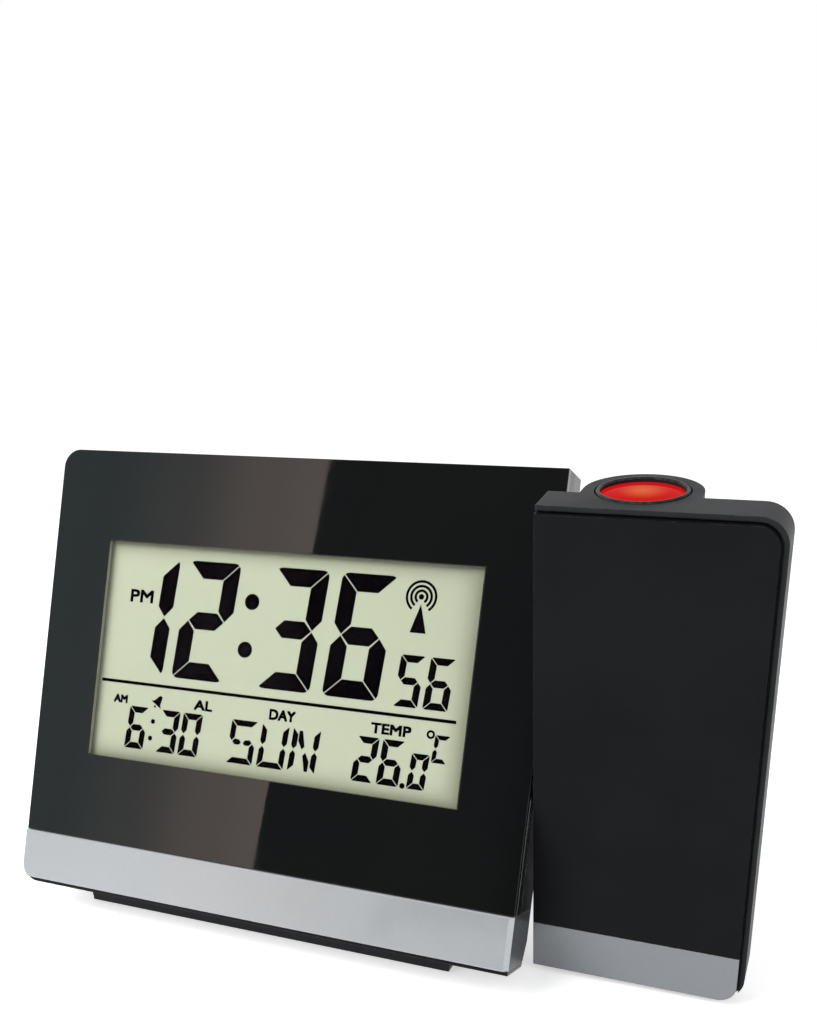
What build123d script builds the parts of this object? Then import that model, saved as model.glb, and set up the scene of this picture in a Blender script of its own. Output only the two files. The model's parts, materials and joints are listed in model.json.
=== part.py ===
"""Projection alarm clock: a leaning radio-controlled desk clock with a projector arm at its right end.

Origin: on the table, below the middle of the case and of the foot's depth.
+X right, -Y to the front, +Z up. Millimetres, degrees.
The case and the arm each have a frame of their own: across from its left end, up along its leaning
front, and back from that front. Every piece is drawn on planes of the frame that it belongs to.
"""

from build123d import *
from math import cos, radians, sin, tan
import os

os.makedirs("parts", exist_ok=True)

# ---------------------------------------------------------------- driving sizes
# Case: a leaning slab with a deeper pod behind its lower half
case_width = 117.0
case_height = 99.7  # along the lean
case_lean = 17.0
case_top_depth = 11.0
case_base_depth = 13.5
case_base_rise = 15.0  # the base depth holds up to here
case_corner_radius = 4.0  # only the two corners away from the arm
heel_depth = 2.5  # flat cut under the rear of the slab
heel_rise = 5.0
wall = 1.6
pivot_wall = 3.0  # the end wall that carries the arm
parting_depth = 5.0  # front case meets rear case here
smallest_round = 0.5  # of an outline drawn in by a wall
past = 1.0  # how far a cut runs past the face that it opens
fit_gap = 0.3  # between pieces that lift or slide past each other
snug_gap = 0.1  # between pieces that are only laid together

# Front panel and trim band
panel_thickness = 1.6
lip_thickness = 1.0  # front case floor behind the panel
band_height = 11.7
band_rise = 0.8  # lip of the case that shows under the band
band_proud = 0.4
band_thickness = 1.2
band_bevel = 0.9
band_top_bevel = 0.3

# Display
window_side_margin = 14.3
window_top_margin = 20.0
window_rise = 31.1
window_flange = 1.6
window_flange_thickness = 0.7
lcd_margin = 3.0  # glass behind the edge of the window
lcd_thickness = 2.0
guide_thickness = 2.5
guide_margin = 0.4
contact_strip_height = 2.0
lcd_frame_width = 1.3
lcd_frame_gap = 0.2
lcd_room = 0.2  # round the glass in the front case

# Main board
board_gap = 0.3
board_thickness = 1.0
board_side = 8.0
board_screw_inset = 4.0
board_boss_radius = 2.5
board_boss_gap = 1.5  # from the display frame
board_screw_reach = 3.9  # front of the board
chip_radius = 6.0
chip_height = 1.2
chip_draft = 25

# Screws
screw_radius = 1.0
screw_head_radius = 2.1
screw_head_height = 1.4
screw_hole_radius = 1.3
counterbore_radius = 2.5
boss_radius = 2.9
case_screw_inset = 7.5
screw_tip_gap = 1.0

# Cells and their bay
cell_diameter = 14.5
cell_length = 50.5
cell_button_radius = 2.7
cell_button_height = 1.0
cell_gap = 0.3
cell_spacing = 0.6
bay_rise = 7.8
bay_wall = 1.4
bay_behind_board = 2.0
spring_room = 4.6
contact_thickness = 0.4
contact_width = 10.0
spring_radius = 3.2
spring_wire_radius = 0.35
spring_wire_sides = 4
spring_turns = 2.5
door_thickness = 1.6
door_overlap = 1.8  # of the bay's rim
door_lower_overlap = 1.1
door_ridges = 4
door_ridge_pitch = 1.8
door_ridge_width = 0.8
door_ridge_height = 0.4
door_ridge_length = 16.0
door_ridge_inset = 4.0

# Pod
side_room = 14.0  # beside the bay, for the inlet and the buzzer
pod_shoulder_rise = 44.6
pod_crest_rise = 58.6
pod_crest_depth = 19.0
pod_top_rise = 64.6
pod_shoulder_radius = 7.0

# Inlet, vents and buzzer in the pod's ends
jack_rise = 20.6
jack_side = 9.0
jack_hole_radius = 2.9
jack_pin_radius = 0.8
jack_depth = 11.0
vent_count = 5
vent_pitch = 2.4
vent_width = 1.2
vent_height = 9.0
buzzer_rise = 22.6
buzzer_radius = 5.6
buzzer_height = 4.0
sound_hole_radius = 0.6
sound_hole_ring = 2.6
sound_hole_count = 6

# Foot
foot_setback = 9.18  # behind the case's front edge
foot_depth = 30.0
foot_end_gap = 1.0  # inside the pod's end at the arm
foot_end_reach = 1.3  # past the pod's other end
foot_end_slope = 1.2
foot_rise = 7.53  # table to the case's front edge
foot_height = 3.8  # table to the pod's floor
foot_tail_height = 1.9  # at its rear edge, under the way of the battery door
foot_tail_gap = 1.0  # behind the pod
pad_thickness = 1.5
pad_proud = 0.5
pad_inset = 3.0
pad_corner_radius = 2.0
foot_screw_inset = 7.0
foot_screw_length = 7.0

# Arm
arm_gap = 0.7
arm_screw_inset = 6.5
arm_width = 42.4
arm_height = 98.9
arm_pivot_rise = 38.7
arm_band_height = 10.8
arm_screw_head_height = 0.7
arm_depth = 9.9
arm_forward_tilt = 10.0
arm_corner_radius = 5.0
arm_rim = 0.9
arm_rim_setback = 1.0  # the panel stands this proud of the rim
arm_panel_inset = 1.3
arm_panel_thickness = 1.8
arm_band_thickness = 1.0
pivot_rise = 39.3
pivot_depth = 11.9
hub_radius = 8.6
axle_radius = 5.0
axle_bore_radius = 3.3
axle_running_gap = 0.05
axle_flange_radius = 6.8
axle_flange_thickness = 1.5
axle_inner_length = 8.0  # past the case's end wall
washer_radius = 6.7
washer_thickness = 0.5
ring_radius = 6.4
ring_thickness = 1.0
ring_groove_depth = 0.8
lead_radius = 3.0

projector_board_side = 3.4
projector_board_rise = 12.0
projector_board_height = 34.0
projector_board_depth = 3.4
projector_board_width = 27.0
socket_width = 6.0
socket_height = 5.0
arm_screw_length = 4.5
standoff_gap = 3.0  # from the screw bosses
standoff_inset = 3.0  # from the board's ends
standoff_wall = 1.0

# Projector
lens_across = 16.3
lens_depth = 12.85
column_radius = 10.6
column_wall = 1.4
focus_radius = 8.2
focus_bore_radius = 7.45
focus_height = 12.0
focus_proud = 0.3
focus_flange_height = 1.5
lens_thickness = 3.0
lens_recess = 0.3
lens_crown = 0.6
tube_wall = 2.0
ledge_width = 0.9
ledge_height = 1.0
focus_bevel = 0.25
led_radius = 2.5
led_height = 5.0
led_board_thickness = 1.2
lamp_board_gap = 1.0  # shelf above the axle's flange
shelf_thickness = 1.5
shelf_width = 3.0
condenser_rise = 6.5  # above the lamp board
condenser_thickness = 3.0
condenser_crown = 1.4
slide_rise = 12.5
slide_side = 9.0
slide_thickness = 1.2

# Radio receiver, sensor
antenna_lift = 4.5  # over the pod's shoulder
antenna_behind_board = 8.0
antenna_radius = 4.0
antenna_end_inset = 2.0  # from the bay's ends
saddle_thickness = 1.6
saddle_inset = 6.0
saddle_rim = 1.0
antenna_coil_length = 22.0
antenna_coil_thickness = 1.1
receiver_length = 14.0
receiver_height = 8.0
receiver_chip_inset = 3.0
receiver_chip_length = 4.0
receiver_chip_margin = 2.0
receiver_chip_height = 0.6
sensor_radius = 1.4
sensor_length = 4.0

# Keys
key_count = 6
key_row_gap = 1.0  # beside the board's screws and the slider
key_length = 8.0
key_height = 4.4
key_rise = 76.6
key_proud = 1.0
key_travel = 0.6
key_flange = 0.8
key_flange_thickness = 0.7
switch_side = 4.0
snooze_length = 44.6
snooze_width = 3.0
snooze_depth = 6.8
snooze_thickness = 3.2
snooze_tab = 2.6
snooze_travel = 0.7
slider_travel = 3.0
key_switch_height = 1.0
key_edge = 0.35
slider_length = 4.0
slider_height = 2.6


# ---------------------------------------------------------------- frames
class LeaningFrame:
    """A slab's own directions: across it, up its leaning front, and back from that front."""

    def __init__(self, corner, lean):
        self.corner = corner
        self.up = Vector(0, sin(radians(lean)), cos(radians(lean)))
        self.back = Vector(0, cos(radians(lean)), -sin(radians(lean)))

    def point(self, across, up, back):
        return self.corner + Vector(across, 0, 0) + self.up * up + self.back * back

    def front(self, depth=0.0):
        """Plane parallel to the front, this deep behind it, facing forward."""
        return Plane(self.point(0, 0, depth), x_dir=(1, 0, 0), z_dir=-self.back)

    def side(self, across=0.0):
        """Plane across the slab, with back as its x and up as its y, facing +X."""
        return Plane(self.point(across, 0, 0), x_dir=self.back, z_dir=(1, 0, 0))

    def top(self, up):
        """Plane square to the up direction, with across as its x and back as its y."""
        return Plane(self.point(0, up, 0), x_dir=(1, 0, 0), z_dir=self.up)


case = LeaningFrame(Vector(-case_width / 2, -foot_setback - foot_depth / 2, foot_rise), case_lean)
pivot = case.point(case_width + arm_gap, pivot_rise, pivot_depth)
arm = LeaningFrame(pivot, -arm_forward_tilt)
arm.corner = arm.point(0, -arm_pivot_rise, -pivot_depth)


def block(frame, across, up, back, mode=Mode.ADD):
    """Box between pairs of limits across, up and back."""
    with BuildSketch(frame.front(back[0])) as face:
        with Locations(((across[0] + across[1]) / 2, (up[0] + up[1]) / 2)):
            Rectangle(across[1] - across[0], up[1] - up[0])
    extrude(face.sketch, amount=back[0] - back[1], mode=mode)


def disc_back(frame, across, up, radius, back, mode=Mode.ADD):
    """Round bar along the back direction."""
    with BuildSketch(frame.front(back[0])) as face:
        with Locations((across, up)):
            Circle(radius)
    extrude(face.sketch, amount=back[0] - back[1], mode=mode)


def disc_across(frame, back, up, radius, across, mode=Mode.ADD):
    """Round bar along the across direction."""
    with BuildSketch(frame.side(across[0])) as face:
        with Locations((back, up)):
            Circle(radius)
    extrude(face.sketch, amount=across[1] - across[0], mode=mode)


def disc_up(frame, across, back, radius, up, mode=Mode.ADD):
    """Round bar along the up direction."""
    with BuildSketch(frame.top(up[0])) as face:
        with Locations((across, back)):
            Circle(radius)
    extrude(face.sketch, amount=up[1] - up[0], mode=mode)


def crowned_disc(frame, across, back, radius, up, crown):
    """Round piece about the up direction, flat below and crowned above."""
    side = up[1] - up[0] - crown
    crown_radius = (radius**2 + crown**2) / (2 * crown)
    half_way = side + crown - crown_radius + (crown_radius**2 - (radius / 2) ** 2) ** 0.5
    foot = frame.point(across, up[0], back)
    with BuildSketch(Plane(foot, x_dir=(1, 0, 0), z_dir=-frame.back)) as half:
        with BuildLine():
            Polyline((0, side + crown), (0, 0), (radius, 0), (radius, side))
            ThreePointArc((radius, side), (radius / 2, half_way), (0, side + crown))
        make_face()
    revolve(half.sketch, axis=Axis(foot, frame.up))


# ---------------------------------------------------------------- places that several pieces share
lip_back = panel_thickness + lip_thickness
lcd_front = panel_thickness
lcd_back = lcd_front + lcd_thickness
guide_back = lcd_back + guide_thickness
board_front = guide_back + board_gap
board_back = board_front + board_thickness
inner_right = case_width - pivot_wall
window = (window_side_margin, case_width - window_side_margin)
window_up = (window_rise, case_height - window_top_margin)
lcd = (window[0] - lcd_margin, window[1] + lcd_margin)
lcd_up = (window_up[0] - lcd_margin, window_up[1] + lcd_margin)
board = (board_side, case_width - board_side - pivot_wall)
boss_reach = lcd_frame_gap + lcd_frame_width + board_boss_gap + board_boss_radius
board_rows = (lcd_up[0] - boss_reach, lcd_up[1] + boss_reach)
board_up = (board_rows[0] - board_screw_inset, board_rows[1] + board_screw_inset)
board_screws = [
    (across, up)
    for across in (board[0] + board_screw_inset, board[1] - board_screw_inset)
    for up in board_rows
]
case_screws = [
    (across, up)
    for across in (case_screw_inset, inner_right - case_screw_inset + wall)
    for up in (case_screw_inset, case_height - case_screw_inset)
]

# Bay: two cells side by side, lying across
cell_radius = cell_diameter / 2
bay_floor = board_back + bay_behind_board + bay_wall
cell_depth = bay_floor + cell_gap + cell_radius
bay_length = cell_length + cell_button_height + spring_room + 2 * contact_thickness
bay = ((case_width - bay_length) / 2, (case_width + bay_length) / 2)
cell_rises = (
    bay_rise + cell_gap + cell_radius,
    bay_rise + cell_gap + cell_radius + cell_diameter + cell_spacing,
)
bay_up = (bay_rise, cell_rises[1] + cell_radius + cell_gap)
door_front = cell_depth + cell_radius + cell_gap
pod_depth = door_front + door_thickness
door = (bay[0] - door_overlap, bay[1] + door_overlap)
door_up = (bay_up[0] - door_lower_overlap, bay_up[1] + door_overlap)

# Rear wall of the slab: it tapers from the base depth to the top depth
rear_slope = (case_base_depth - case_top_depth) / (case_height - case_base_rise)


def rear_face(up):
    """Depth of the slab's outer rear face at a height above its base."""
    return case_base_depth - rear_slope * max(up - case_base_rise, 0)


pod_start = case_top_depth - wall
pod_side = bay[0] - bay_wall - side_room - wall
knee_depth = (foot_rise - foot_height) / sin(radians(case_lean))
pod_heel_rise = (foot_height - foot_rise + pod_depth * sin(radians(case_lean))) / cos(radians(case_lean))


# ---------------------------------------------------------------- housing forms
def case_outline(inset=0.0, depth=0.0):
    """Front view of the case, drawn in by a wall; the arm's end stays square."""
    with BuildSketch(case.front(depth)) as face:
        with BuildLine():
            left, low = inset, inset
            right = case_width if inset == 0 else inner_right
            high = case_height - inset
            Polyline((left, low), (right, low), (right, high), (left, high), close=True)
        make_face()
        fillet(face.vertices().group_by(Axis.X)[0], max(case_corner_radius - inset, smallest_round))
    return face.sketch


def case_profile(inset=0.0):
    """Side view of the slab with its cut heel, drawn in by a wall."""
    with BuildSketch(case.side()) as face:
        with BuildLine():
            Polyline(
                (inset, inset),
                (case_base_depth - heel_depth - inset, inset),
                (case_base_depth - inset, heel_rise),
                (case_base_depth - inset, case_base_rise),
                (case_top_depth - inset, case_height - inset),
                (inset, case_height - inset),
                close=True,
            )
        make_face()
    return face.sketch


def case_slab(inset=0.0):
    """The slab: its front outline crossed with its side profile."""
    with BuildPart() as slab:
        extrude(case_outline(inset), amount=-(case_base_depth + wall))
        extrude(case_profile(inset), amount=case_width, mode=Mode.INTERSECT)
    return slab.part


def case_pod(inset=0.0):
    """The pod behind the slab's lower half, drawn in by a wall, its floor level with the foot's top."""
    with BuildPart() as pod:
        with BuildSketch(case.side(pod_side + inset)) as face:
            with BuildLine():
                Polyline(
                    (pod_start - inset, inset),
                    (knee_depth, inset),
                    (pod_depth - inset, pod_heel_rise + inset),
                    (pod_depth - inset, pod_shoulder_rise),
                    (pod_crest_depth - inset, pod_crest_rise),
                    (pod_start - inset, pod_top_rise - inset),
                    close=True,
                )
            make_face()
            rounds = face.vertices().sort_by(Axis((0, 0, 0), case.up))[-3:-1]
            fillet(rounds, pod_shoulder_radius - inset)
        extrude(amount=case_width - 2 * (pod_side + inset))
    return pod.part


# ================================================================ case, front
with BuildPart() as front_case:
    add(case_slab())
    split(bisect_by=case.front(parting_depth), keep=Keep.TOP)
    # Recess for the panel and the band, open at both ends
    block(
        case,
        (-past, case_width + past),
        (band_rise, case_height + past),
        (-past, panel_thickness),
        Mode.SUBTRACT,
    )
    # Hollow behind the floor, and the opening for the display
    extrude(case_outline(wall, lip_back), amount=-parting_depth, mode=Mode.SUBTRACT)
    block(
        case,
        (lcd[0] - lcd_room, lcd[1] + lcd_room),
        (lcd_up[0] - lcd_room, lcd_up[1] + lcd_room),
        (0, lip_back + past),
        Mode.SUBTRACT,
    )
    # Screw bosses: tall ones for the board, and corner ones for the case screws
    for across, up in board_screws:
        disc_back(case, across, up, board_boss_radius, (lip_back, board_front))
        disc_back(case, across, up, screw_radius, (lip_back, board_front), Mode.SUBTRACT)
    for across, up in case_screws:
        disc_back(case, across, up, boss_radius, (lip_back, board_back))
        disc_back(case, across, up, screw_radius, (lip_back, board_back), Mode.SUBTRACT)
    # Rebate for the band's return on the arm's end
    block(
        case,
        (case_width - band_thickness, case_width + past),
        (band_rise, band_height),
        (-past, parting_depth + past),
        Mode.SUBTRACT,
    )
front_case.part.label = "front_case"
export_step(front_case.part, "parts/front_case.step")

with BuildPart() as front_panel:
    extrude(case_outline(), amount=-panel_thickness)
    block(
        case,
        (-past, case_width + past),
        (-past, band_height + snug_gap),
        (-past, panel_thickness + past),
        Mode.SUBTRACT,
    )
    block(case, window, window_up, (-past, panel_thickness + past), Mode.SUBTRACT)
    # Step behind the opening that holds the window's flange
    block(
        case,
        (window[0] - window_flange, window[1] + window_flange),
        (window_up[0] - window_flange, window_up[1] + window_flange),
        (panel_thickness - window_flange_thickness, panel_thickness + past),
        Mode.SUBTRACT,
    )
front_panel.part.label = "front_panel"
export_step(front_panel.part, "parts/front_panel.step")

with BuildPart() as display_window:
    block(
        case,
        (window[0] + snug_gap, window[1] - snug_gap),
        (window_up[0] + snug_gap, window_up[1] - snug_gap),
        (0, panel_thickness),
    )
    block(
        case,
        (window[0] - window_flange + snug_gap, window[1] + window_flange - snug_gap),
        (window_up[0] - window_flange + snug_gap, window_up[1] + window_flange - snug_gap),
        (panel_thickness - window_flange_thickness + snug_gap, panel_thickness),
    )
display_window.part.label = "display_window"
export_step(display_window.part, "parts/display_window.step")

with BuildPart() as band_return:
    # The side of the band: a strip of the slab's own profile
    extrude(case_profile(), amount=case_width)
    block(
        case,
        (-past, case_width - band_thickness),
        (-past, case_height + past),
        (-past, case_base_depth + past),
        Mode.SUBTRACT,
    )
    block(
        case,
        (0, case_width + past),
        (-past, band_rise),
        (-past, case_base_depth + past),
        Mode.SUBTRACT,
    )
    block(
        case,
        (0, case_width + past),
        (band_height, case_height + past),
        (-past, case_base_depth + past),
        Mode.SUBTRACT,
    )
    block(case, (0, case_width + past), (0, case_height), (-past, panel_thickness), Mode.SUBTRACT)

with BuildPart() as trim_band:
    # Front plate, proud of the panel
    extrude(case_outline(0, -band_proud), amount=-(panel_thickness + band_proud))
    block(
        case,
        (-past, case_width + past),
        (-past, band_rise),
        (-past, panel_thickness + past),
        Mode.SUBTRACT,
    )
    block(
        case,
        (-past, case_width + past),
        (band_height, case_height + past),
        (-past, panel_thickness + past),
        Mode.SUBTRACT,
    )
    right_edge = (
        trim_band.edges()
        .filter_by(Axis((0, 0, 0), case.up))
        .group_by(Axis.X)[-1]
        .sort_by(Axis((0, 0, 0), case.back))[0]
    )
    chamfer(right_edge, band_bevel)
    top_edge = (
        trim_band.edges()
        .filter_by(Axis.X)
        .group_by(Axis((0, 0, 0), case.up))[-1]
        .sort_by(Axis((0, 0, 0), case.back))[0]
    )
    chamfer(top_edge, band_top_bevel)
    # Return along the arm's end
    add(band_return.part)
trim_band.part.label = "trim_band"
export_step(trim_band.part, "parts/trim_band.step")

# ================================================================ case, display stack and main board
with BuildPart() as lcd_glass:
    block(case, lcd, lcd_up, (lcd_front, lcd_back))
lcd_glass.part.label = "lcd_glass"
export_step(lcd_glass.part, "parts/lcd_glass.step")

strip_room = contact_strip_height + guide_margin
with BuildPart() as light_guide:
    block(
        case,
        (lcd[0] + guide_margin, lcd[1] - guide_margin),
        (lcd_up[0] + strip_room, lcd_up[1] - strip_room),
        (lcd_back, guide_back),
    )
light_guide.part.label = "light_guide"
export_step(light_guide.part, "parts/light_guide.step")

with BuildPart() as contact_strips:
    for low in (lcd_up[0] + snug_gap, lcd_up[1] - contact_strip_height - snug_gap):
        block(
            case,
            (lcd[0] + guide_margin, lcd[1] - guide_margin),
            (low, low + contact_strip_height),
            (lcd_back, board_front),
        )
contact_strips.part.label = "contact_strips"
export_step(contact_strips.part, "parts/contact_strips.step")

with BuildPart() as lcd_frame:
    inner = lcd_frame_gap
    outer = lcd_frame_gap + lcd_frame_width
    block(
        case,
        (lcd[0] - outer, lcd[1] + outer),
        (lcd_up[0] - outer, lcd_up[1] + outer),
        (lip_back, board_front),
    )
    block(
        case,
        (lcd[0] - inner, lcd[1] + inner),
        (lcd_up[0] - inner, lcd_up[1] + inner),
        (lip_back, board_front),
        Mode.SUBTRACT,
    )
lcd_frame.part.label = "lcd_frame"
export_step(lcd_frame.part, "parts/lcd_frame.step")

with BuildPart() as main_board:
    block(case, board, board_up, (board_front, board_back))
    for across, up in board_screws:
        disc_back(case, across, up, screw_hole_radius, (board_front, board_back), Mode.SUBTRACT)
    for across, up in case_screws:
        disc_back(case, across, up, boss_radius + fit_gap, (board_front, board_back), Mode.SUBTRACT)
main_board.part.label = "main_board"
export_step(main_board.part, "parts/main_board.step")

with BuildPart() as board_screws_group:
    for across, up in board_screws:
        disc_back(
            case,
            across,
            up,
            screw_radius,
            (board_front - board_screw_reach + screw_tip_gap, board_back),
        )
        disc_back(case, across, up, screw_head_radius, (board_back, board_back + screw_head_height))
board_screws_group.part.label = "board_screws"
export_step(board_screws_group.part, "parts/board_screws.step")

# ================================================================ case, rear
slider_end = board_screws[-1][0] - screw_head_radius - key_row_gap
slider_across = slider_end - wall - slider_travel - slider_length / 2
key_room = (
    board_screws[0][0] + screw_head_radius + key_row_gap,
    slider_across - slider_length / 2 - wall - key_row_gap,
)
key_pitch = (key_room[1] - key_room[0]) / key_count
key_places = [key_room[0] + (i + 0.5) * key_pitch for i in range(key_count)]
snooze = ((case_width - snooze_length) / 2, (case_width + snooze_length) / 2)
snooze_back = (snooze_depth - snooze_width / 2, snooze_depth + snooze_width / 2)
slider_hole = (
    slider_across - slider_length / 2 - fit_gap,
    slider_across + slider_length / 2 + slider_travel + fit_gap,
)
boss_floor = board_back + snug_gap
antenna_rise = pod_shoulder_rise + antenna_lift
antenna_depth = board_back + antenna_behind_board
antenna_across = (bay[0] + antenna_end_inset, bay[1] - antenna_end_inset)
saddles = (antenna_across[0] + saddle_inset, antenna_across[1] - saddle_inset)
jack_across = pod_side + wall + side_room / 2
buzzer_across = case_width - pod_side - wall - side_room / 2
foot_y = (case.corner.Y + foot_setback, case.corner.Y + foot_setback + foot_depth)
foot_screw_y = case.point(0, pod_heel_rise, (knee_depth + pod_depth) / 2).Y
foot_ends = (pod_side - foot_end_reach - case_width / 2, case_width / 2 - pod_side - foot_end_gap)
foot_middle = (foot_ends[0] + foot_ends[1]) / 2
foot_length = foot_ends[1] - foot_ends[0]
foot_screw_x = foot_ends[1] - foot_screw_inset
foot_screws = [(-foot_screw_x, foot_screw_y), (foot_screw_x, foot_screw_y)]

with BuildPart() as rear_case:
    add(case_slab())
    add(case_pod())
    # Round pod at the arm's end, on the pivot's axis
    disc_across(case, pivot_depth, pivot_rise, hub_radius, (case_width - pod_side - wall, case_width))
    split(bisect_by=case.front(parting_depth), keep=Keep.BOTTOM)
    # Hollows of the slab, the pod and the pivot pod
    add(case_slab(wall), mode=Mode.SUBTRACT)
    block(case, (wall, inner_right), (wall, case_height - wall), (0, parting_depth + wall), Mode.SUBTRACT)
    add(case_pod(wall), mode=Mode.SUBTRACT)
    pivot_hollow = (case_width - pod_side - 2 * wall, inner_right)
    disc_across(case, pivot_depth, pivot_rise, hub_radius - wall, pivot_hollow, Mode.SUBTRACT)
    # Battery bay: a tray sunk into the pod, with a rebate for the door
    tray = (bay[0] - bay_wall, bay[1] + bay_wall)
    tray_up = (bay_up[0] - bay_wall, bay_up[1] + bay_wall)
    block(case, tray, tray_up, (bay_floor - bay_wall, pod_depth - wall))
    block(case, bay, bay_up, (bay_floor, pod_depth + past), Mode.SUBTRACT)
    block(case, door, door_up, (door_front, pod_depth + past), Mode.SUBTRACT)
    # Posts that meet the front case's bosses, with holes from behind for the screws
    for across, up in case_screws:
        disc_back(case, across, up, boss_radius, (boss_floor, rear_face(up) - wall / 2))
        disc_back(case, across, up, screw_hole_radius, (boss_floor - past, pod_depth), Mode.SUBTRACT)
        sink = (rear_face(up) - screw_head_height, pod_depth)
        disc_back(case, across, up, counterbore_radius, sink, Mode.SUBTRACT)
    # Floor bosses for the foot's screws
    for x, y in foot_screws:
        with BuildSketch(Plane.XY.offset(foot_height)) as boss:
            with Locations((x, y)):
                Circle(boss_radius)
        extrude(boss.sketch, amount=foot_screw_length)
        with BuildSketch(Plane.XY.offset(foot_height - past)) as hole:
            with Locations((x, y)):
                Circle(screw_radius)
        extrude(hole.sketch, amount=foot_screw_length + past, mode=Mode.SUBTRACT)
    # Saddles for the antenna rod, standing on the bay
    for across in saddles:
        block(
            case,
            (across, across + saddle_thickness),
            (tray_up[1], antenna_rise),
            (antenna_depth - antenna_radius - saddle_rim, antenna_depth + antenna_radius + saddle_rim),
        )
    disc_across(case, antenna_depth, antenna_rise, antenna_radius, antenna_across, Mode.SUBTRACT)
    # Key holes, slider slot and snooze slot
    with BuildSketch(case.front(pod_depth)) as holes:
        with Locations(*[(across, key_rise) for across in key_places]):
            SlotOverall(key_length + 2 * fit_gap, key_height + 2 * fit_gap)
    extrude(holes.sketch, amount=pod_depth - board_back, mode=Mode.SUBTRACT)
    block(
        case,
        slider_hole,
        (key_rise - slider_height / 2 - fit_gap, key_rise + slider_height / 2 + fit_gap),
        (board_back, pod_depth),
        Mode.SUBTRACT,
    )
    block(
        case,
        (snooze[0] - fit_gap, snooze[1] + fit_gap),
        (case_height - wall - past, case_height + past),
        (snooze_back[0] - fit_gap, snooze_back[1] + fit_gap),
        Mode.SUBTRACT,
    )
    # Inlet hole, sound holes and vents
    disc_back(
        case,
        jack_across,
        jack_rise,
        jack_hole_radius,
        (pod_depth - 2 * wall, pod_depth + past),
        Mode.SUBTRACT,
    )
    with BuildSketch(case.front(pod_depth + past)) as sound_holes:
        with Locations((buzzer_across, buzzer_rise)):
            Circle(sound_hole_radius)
            with PolarLocations(sound_hole_ring, sound_hole_count):
                Circle(sound_hole_radius)
    extrude(sound_holes.sketch, amount=wall + 2 * past, mode=Mode.SUBTRACT)
    with BuildSketch(case.front(pod_depth + past)) as vents:
        with Locations((jack_across, jack_rise + jack_side + vent_height / 2)):
            with GridLocations(vent_pitch, 1, vent_count, 1):
                SlotOverall(vent_height, vent_width, rotation=90)
    extrude(vents.sketch, amount=wall + 2 * past, mode=Mode.SUBTRACT)
    # Pivot bearing through the end wall
    bearing = (inner_right - past, case_width + past)
    disc_across(case, pivot_depth, pivot_rise, axle_radius + axle_running_gap, bearing, Mode.SUBTRACT)
    # Rebate for the band's return on the arm's end
    block(
        case,
        (case_width - band_thickness, case_width + past),
        (band_rise, band_height),
        (0, case_base_depth + past),
        Mode.SUBTRACT,
    )
rear_case.part.label = "rear_case"
export_step(rear_case.part, "parts/rear_case.step")

with BuildPart() as battery_door:
    block(
        case,
        (door[0] + fit_gap, door[1] - fit_gap),
        (door_up[0] + fit_gap, door_up[1] - fit_gap),
        (door_front + snug_gap, pod_depth),
    )
    # Ridges that the thumb pushes against
    for i in range(door_ridges):
        ridge = door_up[1] - door_ridge_inset - i * door_ridge_pitch
        block(
            case,
            (case_width / 2 - door_ridge_length / 2, case_width / 2 + door_ridge_length / 2),
            (ridge, ridge + door_ridge_width),
            (pod_depth, pod_depth + door_ridge_height),
        )
battery_door.part.label = "battery_door"
export_step(battery_door.part, "parts/battery_door.step")

with BuildPart() as case_screw_set:
    for across, up in case_screws:
        head_front = rear_face(up) - screw_head_height
        disc_back(case, across, up, screw_radius, (lip_back + screw_tip_gap, head_front))
        disc_back(
            case,
            across,
            up,
            screw_head_radius,
            (head_front, head_front + screw_head_height - snug_gap),
        )
case_screw_set.part.label = "case_screws"
export_step(case_screw_set.part, "parts/case_screws.step")

# ================================================================ cells and contacts
cell_start = bay[0] + contact_thickness + spring_room
with BuildPart() as battery_cells:
    # The two cells lie opposite ways round, as their series link needs
    for up, flipped in zip(cell_rises, (False, True)):
        low = bay[0] + contact_thickness if flipped else cell_start
        button_start = low if flipped else low + cell_length
        body_start = low + cell_button_height if flipped else low
        disc_across(case, cell_depth, up, cell_radius, (body_start, body_start + cell_length))
        disc_across(
            case,
            cell_depth,
            up,
            cell_button_radius,
            (button_start, button_start + cell_button_height),
        )
battery_cells.part.label = "battery_cells"
export_step(battery_cells.part, "parts/battery_cells.step")

with BuildPart() as plate_contacts:
    for up, plate in zip(cell_rises, (bay[1] - contact_thickness, bay[0])):
        block(
            case,
            (plate, plate + contact_thickness),
            (up - contact_width / 2, up + contact_width / 2),
            (cell_depth - contact_width / 2, cell_depth + contact_width / 2),
        )
plate_contacts.part.label = "plate_contacts"
export_step(plate_contacts.part, "parts/plate_contacts.step")

with BuildPart() as spring_contacts:
    for up, plate, way in zip(cell_rises, (bay[0], bay[1] - contact_thickness), (1, -1)):
        block(
            case,
            (plate, plate + contact_thickness),
            (up - contact_width / 2, up + contact_width / 2),
            (cell_depth - contact_width / 2, cell_depth + contact_width / 2),
        )
        seat = plate + contact_thickness if way > 0 else plate
        coil_room = spring_room - 2 * spring_wire_radius
        coil = Helix(
            coil_room / spring_turns,
            coil_room,
            spring_radius,
            center=case.point(seat + way * spring_wire_radius, up, cell_depth),
            direction=(way, 0, 0),
            mode=Mode.PRIVATE,
        )
        with BuildSketch(Plane(coil @ 0, z_dir=coil % 0)) as wire:
            RegularPolygon(spring_wire_radius, spring_wire_sides)
        sweep(wire.sketch, path=coil)
spring_contacts.part.label = "spring_contacts"
export_step(spring_contacts.part, "parts/spring_contacts.step")

# ================================================================ electronics in the case
with BuildPart() as antenna_rod:
    disc_across(case, antenna_depth, antenna_rise, antenna_radius, antenna_across)
antenna_rod.part.label = "antenna_rod"
export_step(antenna_rod.part, "parts/antenna_rod.step")

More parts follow.
